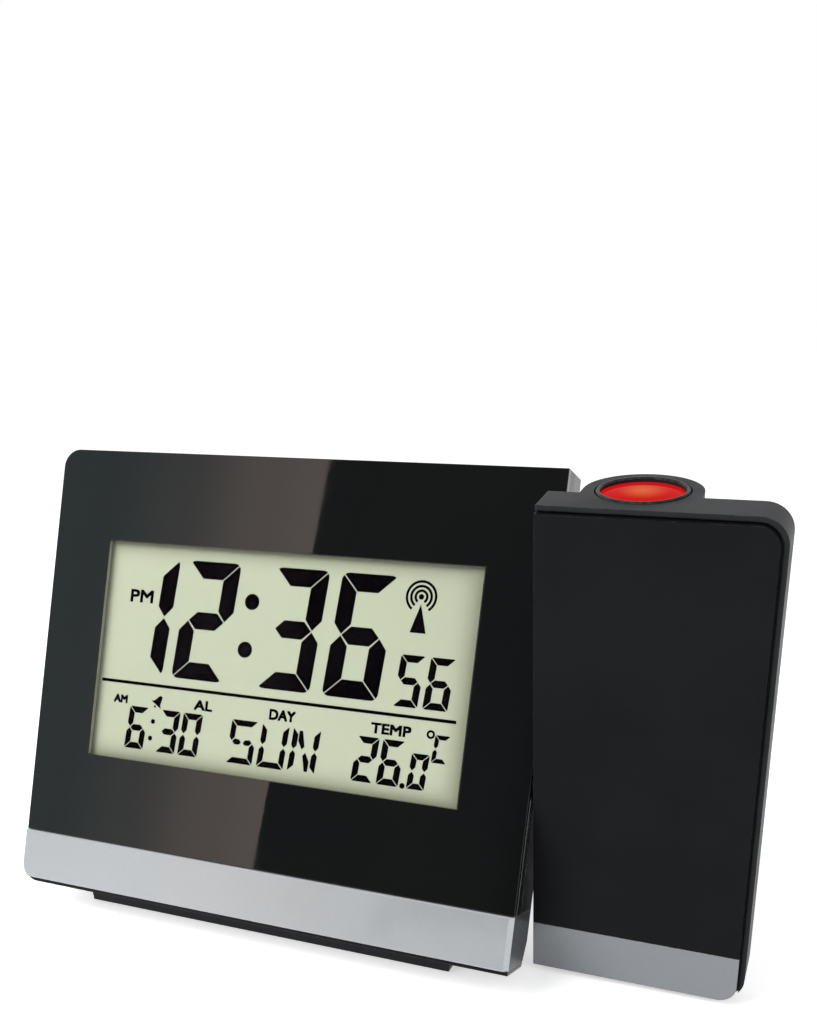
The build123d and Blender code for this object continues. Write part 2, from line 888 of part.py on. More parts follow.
coil_middle = (antenna_across[0] + antenna_across[1]) / 2
with BuildPart() as antenna_coil:
    coil_ends = (coil_middle - antenna_coil_length / 2, coil_middle + antenna_coil_length / 2)
    disc_across(case, antenna_depth, antenna_rise, antenna_radius + antenna_coil_thickness, coil_ends)
    disc_across(case, antenna_depth, antenna_rise, antenna_radius, coil_ends, Mode.SUBTRACT)
antenna_coil.part.label = "antenna_coil"
export_step(antenna_coil.part, "parts/antenna_coil.step")

with BuildPart() as controller_chip:
    # Blob of resin over the bonded chip
    with BuildSketch(case.front(board_back)) as blob:
        with Locations((case_width / 2, case_height / 2)):
            Circle(chip_radius)
    extrude(blob.sketch, amount=-chip_height, taper=chip_draft)
controller_chip.part.label = "controller_chip"
export_step(controller_chip.part, "parts/controller_chip.step")

with BuildPart() as receiver_board:
    receiver_chip = antenna_across[0] + receiver_chip_inset
    block(
        case,
        (antenna_across[0], antenna_across[0] + receiver_length),
        (pod_shoulder_rise - receiver_height, pod_shoulder_rise),
        (board_back, board_back + board_thickness),
    )
    block(
        case,
        (receiver_chip, receiver_chip + receiver_chip_length),
        (
            pod_shoulder_rise - receiver_height + receiver_chip_margin,
            pod_shoulder_rise - receiver_chip_margin,
        ),
        (board_back + board_thickness, board_back + board_thickness + receiver_chip_height),
    )
receiver_board.part.label = "receiver_board"
export_step(receiver_board.part, "parts/receiver_board.step")

with BuildPart() as buzzer:
    buzzer_back = pod_depth - wall
    disc_back(case, buzzer_across, buzzer_rise, buzzer_radius, (buzzer_back - buzzer_height, buzzer_back))
    disc_back(
        case, buzzer_across, buzzer_rise, sound_hole_ring, (buzzer_back - wall, buzzer_back), Mode.SUBTRACT
    )
buzzer.part.label = "buzzer"
export_step(buzzer.part, "parts/buzzer.step")

with BuildPart() as dc_jack:
    jack_back = pod_depth - wall
    block(
        case,
        (jack_across - jack_side / 2, jack_across + jack_side / 2),
        (jack_rise - jack_side / 2, jack_rise + jack_side / 2),
        (jack_back - jack_depth, jack_back),
    )
    jack_bore = (jack_back - jack_depth + wall, jack_back)
    disc_back(case, jack_across, jack_rise, jack_hole_radius - fit_gap, jack_bore, Mode.SUBTRACT)
    disc_back(case, jack_across, jack_rise, jack_pin_radius, (jack_back - jack_depth, jack_back - wall))
dc_jack.part.label = "dc_jack"
export_step(dc_jack.part, "parts/dc_jack.step")

with BuildPart() as temperature_sensor:
    sensor_up = jack_rise + jack_side + vent_height / 2
    disc_back(
        case,
        jack_across,
        sensor_up,
        sensor_radius,
        (pod_depth - wall - sensor_length, pod_depth - wall),
    )
temperature_sensor.part.label = "temperature_sensor"
export_step(temperature_sensor.part, "parts/temperature_sensor.step")

# ================================================================ keys
switch_back = board_back + key_switch_height
key_front = switch_back + key_travel + snug_gap
with BuildPart() as key_switches:
    for across in key_places:
        block(
            case,
            (across - switch_side / 2, across + switch_side / 2),
            (key_rise - switch_side / 2, key_rise + switch_side / 2),
            (board_back, switch_back),
        )
    snooze_middle = (snooze[0] + snooze[1]) / 2
    block(
        case,
        (snooze_middle - switch_side / 2, snooze_middle + switch_side / 2),
        (board_up[1] - switch_side, case_height - snooze_thickness - snooze_travel - snug_gap),
        (board_back, snooze_back[1]),
    )
key_switches.part.label = "key_switches"
export_step(key_switches.part, "parts/key_switches.step")


def rear_key(across):
    """Oblong rear key: its cap stands proud of the rear wall, and a flange inside keeps it in."""
    key_back = rear_face(key_rise) + key_proud
    with BuildPart() as key:
        with BuildSketch(case.front(key_front)) as flange:
            with Locations((across, key_rise)):
                SlotOverall(key_length + 2 * key_flange, key_height + 2 * key_flange)
        extrude(flange.sketch, amount=-key_flange_thickness)
        with BuildSketch(case.front(key_front)) as cap:
            with Locations((across, key_rise)):
                SlotOverall(key_length, key_height)
        extrude(cap.sketch, amount=key_front - key_back)
        rim = key.faces().sort_by(Axis((0, 0, 0), case.back))[-1].edges()
        chamfer(rim, key_edge)
    return key


mode_key = rear_key(key_places[0])
mode_key.part.label = "mode_key"
export_step(mode_key.part, "parts/mode_key.step")

set_key = rear_key(key_places[1])
set_key.part.label = "set_key"
export_step(set_key.part, "parts/set_key.step")

up_key = rear_key(key_places[2])
up_key.part.label = "up_key"
export_step(up_key.part, "parts/up_key.step")

down_key = rear_key(key_places[3])
down_key.part.label = "down_key"
export_step(down_key.part, "parts/down_key.step")

alarm_key = rear_key(key_places[4])
alarm_key.part.label = "alarm_key"
export_step(alarm_key.part, "parts/alarm_key.step")

wave_key = rear_key(key_places[5])
wave_key.part.label = "wave_key"
export_step(wave_key.part, "parts/wave_key.step")

with BuildPart() as snooze_bar:
    block(case, snooze, (case_height - snooze_thickness, case_height), snooze_back)
    # Tabs under the top wall at both ends
    block(
        case,
        (snooze[0] - snooze_tab, snooze[1] + snooze_tab),
        (case_height - snooze_thickness, case_height - wall - fit_gap),
        snooze_back,
    )
snooze_bar.part.label = "snooze_bar"
export_step(snooze_bar.part, "parts/snooze_bar.step")

with BuildPart() as projection_switch:
    slider = (slider_across - slider_length / 2, slider_across + slider_length / 2)
    slider_back = rear_face(key_rise) + key_proud
    block(
        case,
        slider,
        (key_rise - slider_height / 2, key_rise + slider_height / 2),
        (switch_back, slider_back),
    )
projection_switch.part.label = "projection_switch"
export_step(projection_switch.part, "parts/projection_switch.step")

with BuildPart() as slide_switch_body:
    block(
        case,
        (slider[0] - wall, slider[1] + slider_travel + wall),
        (key_rise - slider_height, key_rise + slider_height),
        (board_back, switch_back - snug_gap),
    )
slide_switch_body.part.label = "slide_switch_body"
export_step(slide_switch_body.part, "parts/slide_switch_body.step")

# ================================================================ foot
foot_knee_y = case.point(0, 0, knee_depth).Y
foot_tail_y = case.point(0, pod_heel_rise, pod_depth).Y + foot_tail_gap
foot_front_top = foot_rise - foot_setback * tan(radians(case_lean))
pad_length = foot_length - 2 * (foot_end_slope + pad_inset)
pad_width = foot_depth - 2 * pad_inset
with BuildPart() as foot_base:
    # Side view: its front follows the case's underside, its middle carries the pod, its tail runs out low
    with BuildSketch(Plane.YZ):
        with BuildLine():
            Polyline(
                (foot_y[0], pad_proud),
                (foot_y[1], pad_proud),
                (foot_y[1], foot_tail_height),
                (foot_tail_y, foot_height),
                (foot_knee_y, foot_height),
                (foot_y[0], foot_front_top),
                close=True,
            )
        make_face()
    extrude(amount=case_width / 2, both=True)
    # Front view: the ends lean in towards the table
    with BuildSketch(Plane.XZ):
        with BuildLine():
            Polyline(
                (foot_ends[0] + foot_end_slope, 0),
                (foot_ends[1] - foot_end_slope, 0),
                (foot_ends[1], foot_rise),
                (foot_ends[0], foot_rise),
                close=True,
            )
        make_face()
    extrude(amount=foot_depth, both=True, mode=Mode.INTERSECT)
    # Recesses for the pad and the screws that it hides
    with BuildSketch(Plane.XY) as recess:
        with Locations((foot_middle, 0)):
            RectangleRounded(pad_length, pad_width, pad_corner_radius)
    extrude(recess.sketch, amount=pad_thickness, mode=Mode.SUBTRACT)
    with BuildSketch(Plane.XY) as heads:
        with Locations(*foot_screws):
            Circle(counterbore_radius)
    extrude(heads.sketch, amount=pad_thickness + screw_head_height, mode=Mode.SUBTRACT)
    with BuildSketch(Plane.XY) as holes:
        with Locations(*foot_screws):
            Circle(screw_hole_radius)
    extrude(holes.sketch, amount=foot_rise, mode=Mode.SUBTRACT)
foot_base.part.label = "foot_base"
export_step(foot_base.part, "parts/foot_base.step")

with BuildPart() as grip_pad:
    with BuildSketch(Plane.XY):
        with Locations((foot_middle, 0)):
            RectangleRounded(pad_length, pad_width, pad_corner_radius)
    extrude(amount=pad_thickness)
grip_pad.part.label = "grip_pad"
export_step(grip_pad.part, "parts/grip_pad.step")

with BuildPart() as foot_screw_set:
    with BuildSketch(Plane.XY.offset(pad_thickness + snug_gap)):
        with Locations(*foot_screws):
            Circle(screw_head_radius)
    extrude(amount=screw_head_height - snug_gap)
    with BuildSketch(Plane.XY.offset(pad_thickness + screw_head_height)):
        with Locations(*foot_screws):
            Circle(screw_radius)
    extrude(amount=foot_screw_length)
foot_screw_set.part.label = "foot_screws"
export_step(foot_screw_set.part, "parts/foot_screws.step")

# ================================================================ arm
arm_rim_back = arm_panel_thickness
arm_screws = [
    (arm_width - arm_screw_inset, up)
    for up in (arm_screw_inset, arm_height / 2, arm_height - arm_screw_inset)
]
column_inner = column_radius - column_wall
lamp_board_rise = arm_pivot_rise + axle_flange_radius + shelf_thickness + lamp_board_gap
tube_rise = lamp_board_rise + led_board_thickness
tube_radius = column_inner - snug_gap
focus_rise = arm_height + focus_proud - focus_height
tube_top = focus_rise - fit_gap
lens_low = arm_height + focus_proud - lens_recess - lens_thickness
standoff_across = arm_width - arm_screw_inset - boss_radius - standoff_gap
standoff_rises = (
    projector_board_rise + standoff_inset,
    projector_board_rise + projector_board_height - standoff_inset,
)
roof = arm_height - wall


def arm_outline(inset, depth, left=0.0, low=0.0):
    """Front view of the arm, drawn in at its top and outer side; the side by the case stays square."""
    with BuildSketch(arm.front(depth)) as face:
        right = arm_width - inset
        high = arm_height - inset
        with BuildLine():
            Polyline((left, low), (right, low), (right, high), (left, high), close=True)
        make_face()
        fillet(face.vertices().group_by(Axis.X)[-1], arm_corner_radius - inset)
    return face.sketch


with BuildPart() as arm_shell:
    # Slab, optics column and hub
    extrude(arm_outline(0, arm_rim_setback), amount=arm_rim_setback - arm_depth)
    disc_up(arm, lens_across, lens_depth, column_radius, (0, arm_height))
    block(
        arm,
        (lens_across - column_radius, lens_across + column_radius),
        (0, arm_height),
        (arm_depth - wall, lens_depth),
    )
    disc_across(arm, pivot_depth, arm_pivot_rise, hub_radius, (0, lens_across))
    # Hollows
    hollow = arm_outline(wall, 0, wall, wall)
    extrude(hollow, amount=wall - arm_depth, mode=Mode.SUBTRACT)
    disc_up(arm, lens_across, lens_depth, column_inner, (wall, roof), Mode.SUBTRACT)
    block(
        arm,
        (lens_across - column_inner, lens_across + column_inner),
        (wall, roof),
        (arm_rim_setback, lens_depth),
        Mode.SUBTRACT,
    )
    disc_across(arm, pivot_depth, arm_pivot_rise, hub_radius - wall, (wall, lens_across), Mode.SUBTRACT)
    # Recess for the front panel: a rim is left at the top and the outer side
    extrude(arm_outline(arm_rim, 0, -past, -past), amount=-arm_rim_back, mode=Mode.SUBTRACT)
    # Axle hole and the focus ring's hole
    disc_across(arm, pivot_depth, arm_pivot_rise, axle_radius, (-past, wall + past), Mode.SUBTRACT)
    disc_up(
        arm,
        lens_across,
        lens_depth,
        focus_radius + fit_gap,
        (roof - past, arm_height + past),
        Mode.SUBTRACT,
    )
    # Shelf that carries the lamp board
    disc_up(
        arm,
        lens_across,
        lens_depth,
        column_inner,
        (lamp_board_rise - shelf_thickness, lamp_board_rise),
    )
    disc_up(
        arm,
        lens_across,
        lens_depth,
        column_inner - shelf_width,
        (lamp_board_rise - shelf_thickness - past, lamp_board_rise + past),
        Mode.SUBTRACT,
    )
    # Screw holes, sunk from behind
    for across, up in arm_screws:
        disc_back(arm, across, up, screw_hole_radius, (0, arm_depth + past), Mode.SUBTRACT)
arm_shell.part.label = "arm_shell"
export_step(arm_shell.part, "parts/arm_shell.step")

with BuildPart() as arm_panel:
    extrude(arm_outline(arm_panel_inset, 0), amount=-arm_panel_thickness)
    # Step that the band is laid in
    block(arm, (-past, arm_width), (-past, arm_band_height), (-past, arm_band_thickness), Mode.SUBTRACT)
    # Bosses that take the screws from behind
    for across, up in arm_screws:
        disc_back(arm, across, up, boss_radius, (arm_panel_thickness, arm_depth - wall))
        disc_back(
            arm,
            across,
            up,
            screw_radius,
            (arm_panel_thickness + wall, arm_depth - wall),
            Mode.SUBTRACT,
        )
    # Standoffs for the projector's board
    for up in standoff_rises:
        disc_back(
            arm,
            standoff_across,
            up,
            screw_radius + standoff_wall,
            (arm_panel_thickness, projector_board_depth),
        )
arm_panel.part.label = "arm_panel"
export_step(arm_panel.part, "parts/arm_panel.step")

with BuildPart() as arm_band:
    extrude(arm_outline(arm_panel_inset, 0), amount=-arm_band_thickness)
    band_top = arm_band_height - snug_gap / 2
    block(
        arm,
        (-past, arm_width),
        (band_top, arm_height),
        (-past, arm_band_thickness + past),
        Mode.SUBTRACT,
    )
arm_band.part.label = "arm_band"
export_step(arm_band.part, "parts/arm_band.step")

with BuildPart() as arm_screw_set:
    head_front = arm_depth
    for across, up in arm_screws:
        disc_back(arm, across, up, screw_radius, (head_front - wall - arm_screw_length, head_front))
        disc_back(arm, across, up, screw_head_radius, (head_front, head_front + arm_screw_head_height))
arm_screw_set.part.label = "arm_screws"
export_step(arm_screw_set.part, "parts/arm_screws.step")

# ================================================================ pivot
axle_inside = inner_right - case_width - arm_gap - axle_inner_length
washer = (inner_right - case_width - arm_gap - washer_thickness, inner_right - case_width - arm_gap)
ring = (washer[0] - ring_thickness, washer[0])
with BuildPart() as pivot_axle:
    # Tube from inside the case to a flange inside the arm's wall
    disc_across(arm, pivot_depth, arm_pivot_rise, axle_radius, (axle_inside, wall))
    disc_across(
        arm,
        pivot_depth,
        arm_pivot_rise,
        axle_flange_radius,
        (wall, wall + axle_flange_thickness),
    )
    # Groove for the retaining ring
    disc_across(arm, pivot_depth, arm_pivot_rise, axle_radius, ring, Mode.SUBTRACT)
    disc_across(arm, pivot_depth, arm_pivot_rise, axle_radius - ring_groove_depth, ring)
    bore = (axle_inside, wall + axle_flange_thickness)
    disc_across(arm, pivot_depth, arm_pivot_rise, axle_bore_radius, bore, Mode.SUBTRACT)
pivot_axle.part.label = "pivot_axle"
export_step(pivot_axle.part, "parts/pivot_axle.step")

with BuildPart() as friction_washer:
    seat = (washer[0] + snug_gap / 2, washer[1] - snug_gap / 2)
    disc_across(arm, pivot_depth, arm_pivot_rise, washer_radius, seat)
    disc_across(arm, pivot_depth, arm_pivot_rise, axle_radius + snug_gap, washer, Mode.SUBTRACT)
friction_washer.part.label = "friction_washer"
export_step(friction_washer.part, "parts/friction_washer.step")

with BuildPart() as retaining_ring:
    disc_across(arm, pivot_depth, arm_pivot_rise, ring_radius, ring)
    disc_across(arm, pivot_depth, arm_pivot_rise, axle_radius - ring_groove_depth, ring, Mode.SUBTRACT)
    # Mouth of the ring
    mouth = (arm_pivot_rise - ring_radius, arm_pivot_rise)
    reach = axle_radius - ring_groove_depth
    block(
        arm,
        ring,
        (mouth[0] - past, mouth[1]),
        (pivot_depth - reach / 2, pivot_depth + reach / 2),
        Mode.SUBTRACT,
    )
retaining_ring.part.label = "retaining_ring"
export_step(retaining_ring.part, "parts/retaining_ring.step")

with BuildPart() as lead_bundle:
    lead_ends = (axle_inside, wall + axle_flange_thickness + wall)
    disc_across(arm, pivot_depth, arm_pivot_rise, lead_radius, lead_ends)
lead_bundle.part.label = "lead_bundle"
export_step(lead_bundle.part, "parts/lead_bundle.step")

with BuildPart() as case_socket:
    # Plug for the leads, on a tail of the main board's edge
    socket_right = inner_right - axle_inner_length - fit_gap
    block(
        case,
        (board[1] - socket_width, socket_right),
        (pivot_rise - socket_height / 2, pivot_rise + socket_height / 2),
        (board_back, pivot_depth + lead_radius),
    )
case_socket.part.label = "case_socket"
export_step(case_socket.part, "parts/case_socket.step")

# ================================================================ projector
with BuildPart() as projector_board:
    block(
        arm,
        (projector_board_side, projector_board_side + projector_board_width),
        (projector_board_rise, projector_board_rise + projector_board_height),
        (projector_board_depth, projector_board_depth + board_thickness),
    )
projector_board.part.label = "projector_board"
export_step(projector_board.part, "parts/projector_board.step")

with BuildPart() as projector_socket:
    block(
        arm,
        (lead_ends[1], lead_ends[1] + socket_width),
        (arm_pivot_rise - socket_height / 2, arm_pivot_rise + socket_height / 2),
        (projector_board_depth + board_thickness, pivot_depth + lead_radius),
    )
projector_socket.part.label = "projector_socket"
export_step(projector_socket.part, "parts/projector_socket.step")

with BuildPart() as lamp_board:
    disc_up(arm, lens_across, lens_depth, tube_radius, (lamp_board_rise, tube_rise))
lamp_board.part.label = "lamp_board"
export_step(lamp_board.part, "parts/lamp_board.step")

with BuildPart() as projector_led:
    # Round lamp with a domed end
    crowned_disc(
        arm,
        lens_across,
        lens_depth,
        led_radius,
        (tube_rise, tube_rise + led_height),
        led_radius,
    )
projector_led.part.label = "projector_led"
export_step(projector_led.part, "parts/projector_led.step")

tube_inner = tube_radius - tube_wall
with BuildPart() as optics_tube:
    disc_up(arm, lens_across, lens_depth, tube_radius, (tube_rise, tube_top))
    disc_up(arm, lens_across, lens_depth, tube_inner, (tube_rise, tube_top), Mode.SUBTRACT)
    # Ledges under the condenser lens and the display slide
    for ledge in (condenser_rise, slide_rise):
        low = tube_rise + ledge - ledge_height
        disc_up(arm, lens_across, lens_depth, tube_inner, (low, low + ledge_height))
        disc_up(
            arm,
            lens_across,
            lens_depth,
            tube_inner - ledge_width,
            (low, low + ledge_height),
            Mode.SUBTRACT,
        )
optics_tube.part.label = "optics_tube"
export_step(optics_tube.part, "parts/optics_tube.step")

with BuildPart() as condenser_lens:
    low = tube_rise + condenser_rise
    lens_ends = (low, low + condenser_thickness)
    crowned_disc(arm, lens_across, lens_depth, tube_inner - snug_gap, lens_ends, condenser_crown)
condenser_lens.part.label = "condenser_lens"
export_step(condenser_lens.part, "parts/condenser_lens.step")

with BuildPart() as projector_lcd:
    low = tube_rise + slide_rise
    block(
        arm,
        (lens_across - slide_side / 2, lens_across + slide_side / 2),
        (low, low + slide_thickness),
        (lens_depth - slide_side / 2, lens_depth + slide_side / 2),
    )
projector_lcd.part.label = "projector_lcd"
export_step(projector_lcd.part, "parts/projector_lcd.step")

with BuildPart() as focus_ring:
    ring_top = arm_height + focus_proud
    disc_up(arm, lens_across, lens_depth, focus_radius, (focus_rise, ring_top))
    # Foot flange that keeps the ring under the roof
    flange_top = focus_rise + focus_flange_height
    disc_up(arm, lens_across, lens_depth, column_inner - snug_gap, (focus_rise, flange_top))
    disc_up(arm, lens_across, lens_depth, focus_bore_radius, (lens_low, ring_top), Mode.SUBTRACT)
    disc_up(
        arm,
        lens_across,
        lens_depth,
        focus_bore_radius - ledge_width,
        (focus_rise, lens_low),
        Mode.SUBTRACT,
    )
    rim = focus_ring.edges().filter_by(GeomType.CIRCLE).group_by(Axis((0, 0, 0), arm.up))[-1]
    chamfer(rim, focus_bevel)
focus_ring.part.label = "focus_ring"
export_step(focus_ring.part, "parts/focus_ring.step")

with BuildPart() as projection_lens:
    lens_ends = (lens_low, lens_low + lens_thickness)
    crowned_disc(arm, lens_across, lens_depth, focus_bore_radius - snug_gap / 2, lens_ends, lens_crown)
projection_lens.part.label = "projection_lens"
export_step(projection_lens.part, "parts/projection_lens.step")
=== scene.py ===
import json
import math

import bmesh
import bpy
from mathutils import Matrix, Vector


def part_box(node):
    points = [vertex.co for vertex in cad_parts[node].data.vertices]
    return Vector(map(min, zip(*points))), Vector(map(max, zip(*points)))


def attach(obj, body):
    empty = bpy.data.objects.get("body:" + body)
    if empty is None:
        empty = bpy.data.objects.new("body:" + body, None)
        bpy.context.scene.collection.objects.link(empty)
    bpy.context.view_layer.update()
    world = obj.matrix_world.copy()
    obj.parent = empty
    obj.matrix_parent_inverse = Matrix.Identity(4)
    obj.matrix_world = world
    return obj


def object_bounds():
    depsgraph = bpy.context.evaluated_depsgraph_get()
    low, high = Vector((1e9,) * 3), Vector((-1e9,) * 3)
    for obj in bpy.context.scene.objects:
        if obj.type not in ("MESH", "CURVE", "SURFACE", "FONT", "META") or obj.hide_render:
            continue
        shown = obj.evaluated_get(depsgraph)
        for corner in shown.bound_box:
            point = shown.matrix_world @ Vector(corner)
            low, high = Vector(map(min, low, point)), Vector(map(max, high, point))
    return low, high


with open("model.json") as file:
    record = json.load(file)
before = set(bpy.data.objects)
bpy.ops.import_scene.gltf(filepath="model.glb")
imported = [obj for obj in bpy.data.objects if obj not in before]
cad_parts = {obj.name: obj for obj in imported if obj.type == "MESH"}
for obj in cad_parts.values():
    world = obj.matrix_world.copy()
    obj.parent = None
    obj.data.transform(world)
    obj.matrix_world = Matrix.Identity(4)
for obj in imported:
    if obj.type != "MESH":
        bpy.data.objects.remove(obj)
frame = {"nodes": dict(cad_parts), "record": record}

cad_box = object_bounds()
nodes = frame["nodes"]
MM = 0.001

# ---------------------------------------------------------------- sizes, in millimetres and degrees
FRONT = (0, -1, 0)

CAMERA_PLACE = (112.7, -226.2, 125.0)
CAMERA_DOWN = 18.56
CAMERA_ASIDE = 23.05
CAMERA_SENSOR = 36
CAMERA_LENS = 41.73
CAMERA_SHIFT = (0.0485, 0.2283)
CAMERA_NEAR = 10

# The display's edge shade, painted into its colour: darker towards the window's edges, where they shade the
# display
DISPLAY_MIDDLE = -1.6
DISPLAY_HALF_WIDTH = 44.7
DISPLAY_HALF_HEIGHT = 24.3
DISPLAY_SHADE_SIDE = 6.0
DISPLAY_SHADE_TOP = 5.4

# The window is drawn in by a hair, so that it doesn't share a plane with the glass that it lies on
WINDOW_GAP = 0.03
INK_FRONT = 0.02  # the ink's face in front of the glass
INK_BACK = 0.005
WELD = 0.002
LENS_GLOW_SHARE = 0.7  # of the lens's radius, from orange to deep red

# Rows of marks on the display: bottom and height
TIME_ROW = (22.51, 26.1)
SECONDS_ROW = (22.11, 10.7)
LOWER_ROW = (5.59, 9.5)
LEGEND_ROW = 16.1
DIGIT_SHEAR = 0.07
CORNER_SHARE = 0.45  # of a digit's stroke
POINT_SHARE = 0.58
DIGIT_STROKES = {
    "0": "abcdef", "1": "bc", "2": "abged", "3": "abgcd", "5": "afgcd", "6": "afgecd", "C": "afed",
}

# Studio, in metres: both cards hang 0.7 m in front of the case; the warm one ends at a slanting edge
FLOOR_LIFT = 0.5
FLOOR_HALF = 30.0
WORLD_LIGHT = 0.6
LAMP_AIM = Vector((0, 0, 0.05))
CARD_MIDDLE = Vector((-0.2916, -0.6074, 0.2663))
CARD_RIGHT = Vector((0.896, -0.444, 0.0))
CARD_UP = Vector((0.128, 0.258, 0.958))
CARD_SIZE = 0.8
WARM_EDGE = -0.0046  # right of the middle
WARM_LEAN = 0.055  # to the left per length upwards
WARM_WIDTH = 0.3
WARM_AHEAD = 0.01
# Tones along a card: share of its width, colour
GREY_TONES = [(0.5, (0.14, 0.15, 0.15, 1)), (0.72, (0.14, 0.15, 0.15, 1)), (0.8, (0.05, 0.05, 0.05, 1))]
WARM_TONES = [
    (0.45, (0.57, 0.68, 0.71, 1)), (0.64, (0.87, 0.90, 0.87, 1)),
    (0.85, (1.70, 1.47, 1.35, 1)), (1.0, (2.0, 1.7, 1.55, 1)),
]

# ---------------------------------------------------------------- places taken from the solids


class Face:
    """The largest flat face of a node towards a direction: its middle, its lower edge and its own axes."""

    def __init__(self, node, towards):
        mesh = nodes[node].data
        towards = Vector(towards)
        facing = [p for p in mesh.polygons if p.normal.dot(towards) > 0.8]
        biggest = max(facing, key=lambda p: p.area)
        self.out = biggest.normal.copy()
        self.across = Vector((0, 0, 1)).cross(self.out).normalized()
        self.up = self.out.cross(self.across)
        depth = biggest.center.dot(self.out)
        flat = [
            mesh.vertices[i].co
            for p in facing
            if p.normal.dot(self.out) > 0.9999 and abs(p.center.dot(self.out) - depth) < 1e-5
            for i in p.vertices
        ]
        across = [v.dot(self.across) for v in flat]
        up = [v.dot(self.up) for v in flat]
        self.height = max(up) - min(up)
        self.foot = (
            self.out * depth
            + self.across * (max(across) + min(across)) / 2
            + self.up * min(up)
        )

    def point(self, across, up, out=0.0):
        """A place from the middle of the face's lower edge, in millimetres."""
        return self.foot + (self.across * across + self.up * up + self.out * out) * MM


glass = Face("lcd_glass", FRONT)

# ---------------------------------------------------------------- camera
camera_data = bpy.data.cameras.new("camera")
camera = bpy.data.objects.new("camera", camera_data)
bpy.context.scene.collection.objects.link(camera)
bpy.context.scene.camera = camera
camera.location = Vector(CAMERA_PLACE) * MM
camera.rotation_euler = (math.radians(90 - CAMERA_DOWN), 0, math.radians(CAMERA_ASIDE))
camera_data.sensor_width = CAMERA_SENSOR
camera_data.lens = CAMERA_LENS
camera_data.shift_x, camera_data.shift_y = CAMERA_SHIFT
camera_data.clip_start = CAMERA_NEAR * MM

# ---------------------------------------------------------------- shader tools


def linear(*srgb):
    """Colour for a shader socket from 0-255 display values."""
    parts = [c / 255 for c in srgb]
    return tuple(c / 12.92 if c <= 0.04045 else ((c + 0.055) / 1.055) ** 2.4 for c in parts) + (1.0,)


def wire(tree, source, target):
    tree.links.new(source, target)


def feed(tree, value, socket):
    """Links another node's output to the socket, or sets a plain value on it."""
    if isinstance(value, bpy.types.NodeSocket):
        tree.links.new(value, socket)
    else:
        socket.default_value = value


def add(tree, kind, **values):
    """Adds a node; values name its properties or its input sockets."""
    node = tree.nodes.new(kind)
    for key, value in values.items():
        if hasattr(node, key):
            setattr(node, key, value)
        else:
            feed(tree, value, node.inputs[key.replace("_", " ")])
    return node


def maths(tree, operation, a, b=0.0, clamp=False):
    node = add(tree, "ShaderNodeMath", operation=operation, use_clamp=clamp)
    for socket, value in zip(node.inputs, (a, b)):
        feed(tree, value, socket)
    return node.outputs[0]


def spread(tree, value, low, high, to_low=0.0, to_high=1.0):
    """Smooth step of a value from one range to another."""
    node = add(tree, "ShaderNodeMapRange", interpolation_type="SMOOTHSTEP")
    for socket, number in zip(node.inputs, (value, low, high, to_low, to_high)):
        feed(tree, number, socket)
    return node.outputs[0]


def vector_maths(tree, operation, a, b, output="Vector"):
    node = add(tree, "ShaderNodeVectorMath", operation=operation)
    for socket, value in zip(node.inputs, (a, b)):
        feed(tree, value, socket)
    return node.outputs[output]


def normal_of(tree):
    return tree.nodes.new("ShaderNodeNewGeometry").outputs["Normal"]


def place_on(tree):
    return add(tree, "ShaderNodeTexCoord").outputs["Object"]


def blend_colour(tree, share, a, b):
    node = add(tree, "ShaderNodeMix", data_type="RGBA")
    for name, value in (("Factor", share), ("A", a), ("B", b)):
        feed(tree, value, next(s for s in node.inputs if s.name == name and s.enabled))
    return next(s for s in node.outputs if s.enabled)


def new_group(name, inputs, outputs):
    """Shader group with float or colour sockets; returns the tree with its two end nodes."""
    tree = bpy.data.node_groups.new(name, "ShaderNodeTree")
    for socket_name, default in inputs:
        kind = "NodeSocketColor" if isinstance(default, tuple) else "NodeSocketFloat"
        socket = tree.interface.new_socket(socket_name, in_out="INPUT", socket_type=kind)
        socket.default_value = default
    for socket_name, kind in outputs:
        tree.interface.new_socket(socket_name, in_out="OUTPUT", socket_type=kind)
    return tree, tree.nodes.new("NodeGroupInput"), tree.nodes.new("NodeGroupOutput")


def place_group(tree, group, **values):
    return add(tree, "ShaderNodeGroup", node_tree=group, **values)


FLOAT = "NodeSocketFloat"

# ---------------------------------------------------------------- shared effects


def make_moulding_grain():
    """Fine spark-eroded grain of a moulded face, with the slow swirl of the melt under it."""
    tree, start, end = new_group(
        "moulding_grain", [("Grain Scale", 6000.0), ("Swirl Scale", 60.0)],
        [("Height", FLOAT), ("Swirl", FLOAT)],
    )
    place = place_on(tree)
    grain = add(tree, "ShaderNodeTexNoise", Vector=place, Detail=3.0, Roughness=0.6)
    wire(tree, start.outputs["Grain Scale"], grain.inputs["Scale"])
    swirl = add(tree, "ShaderNodeTexNoise", Vector=place, Detail=4.0, Roughness=0.5)
    wire(tree, start.outputs["Swirl Scale"], swirl.inputs["Scale"])
    wire(tree, grain.outputs["Fac"], end.inputs["Height"])
    wire(tree, spread(tree, swirl.outputs["Fac"], 0.35, 0.65), end.inputs["Swirl"])
    return tree


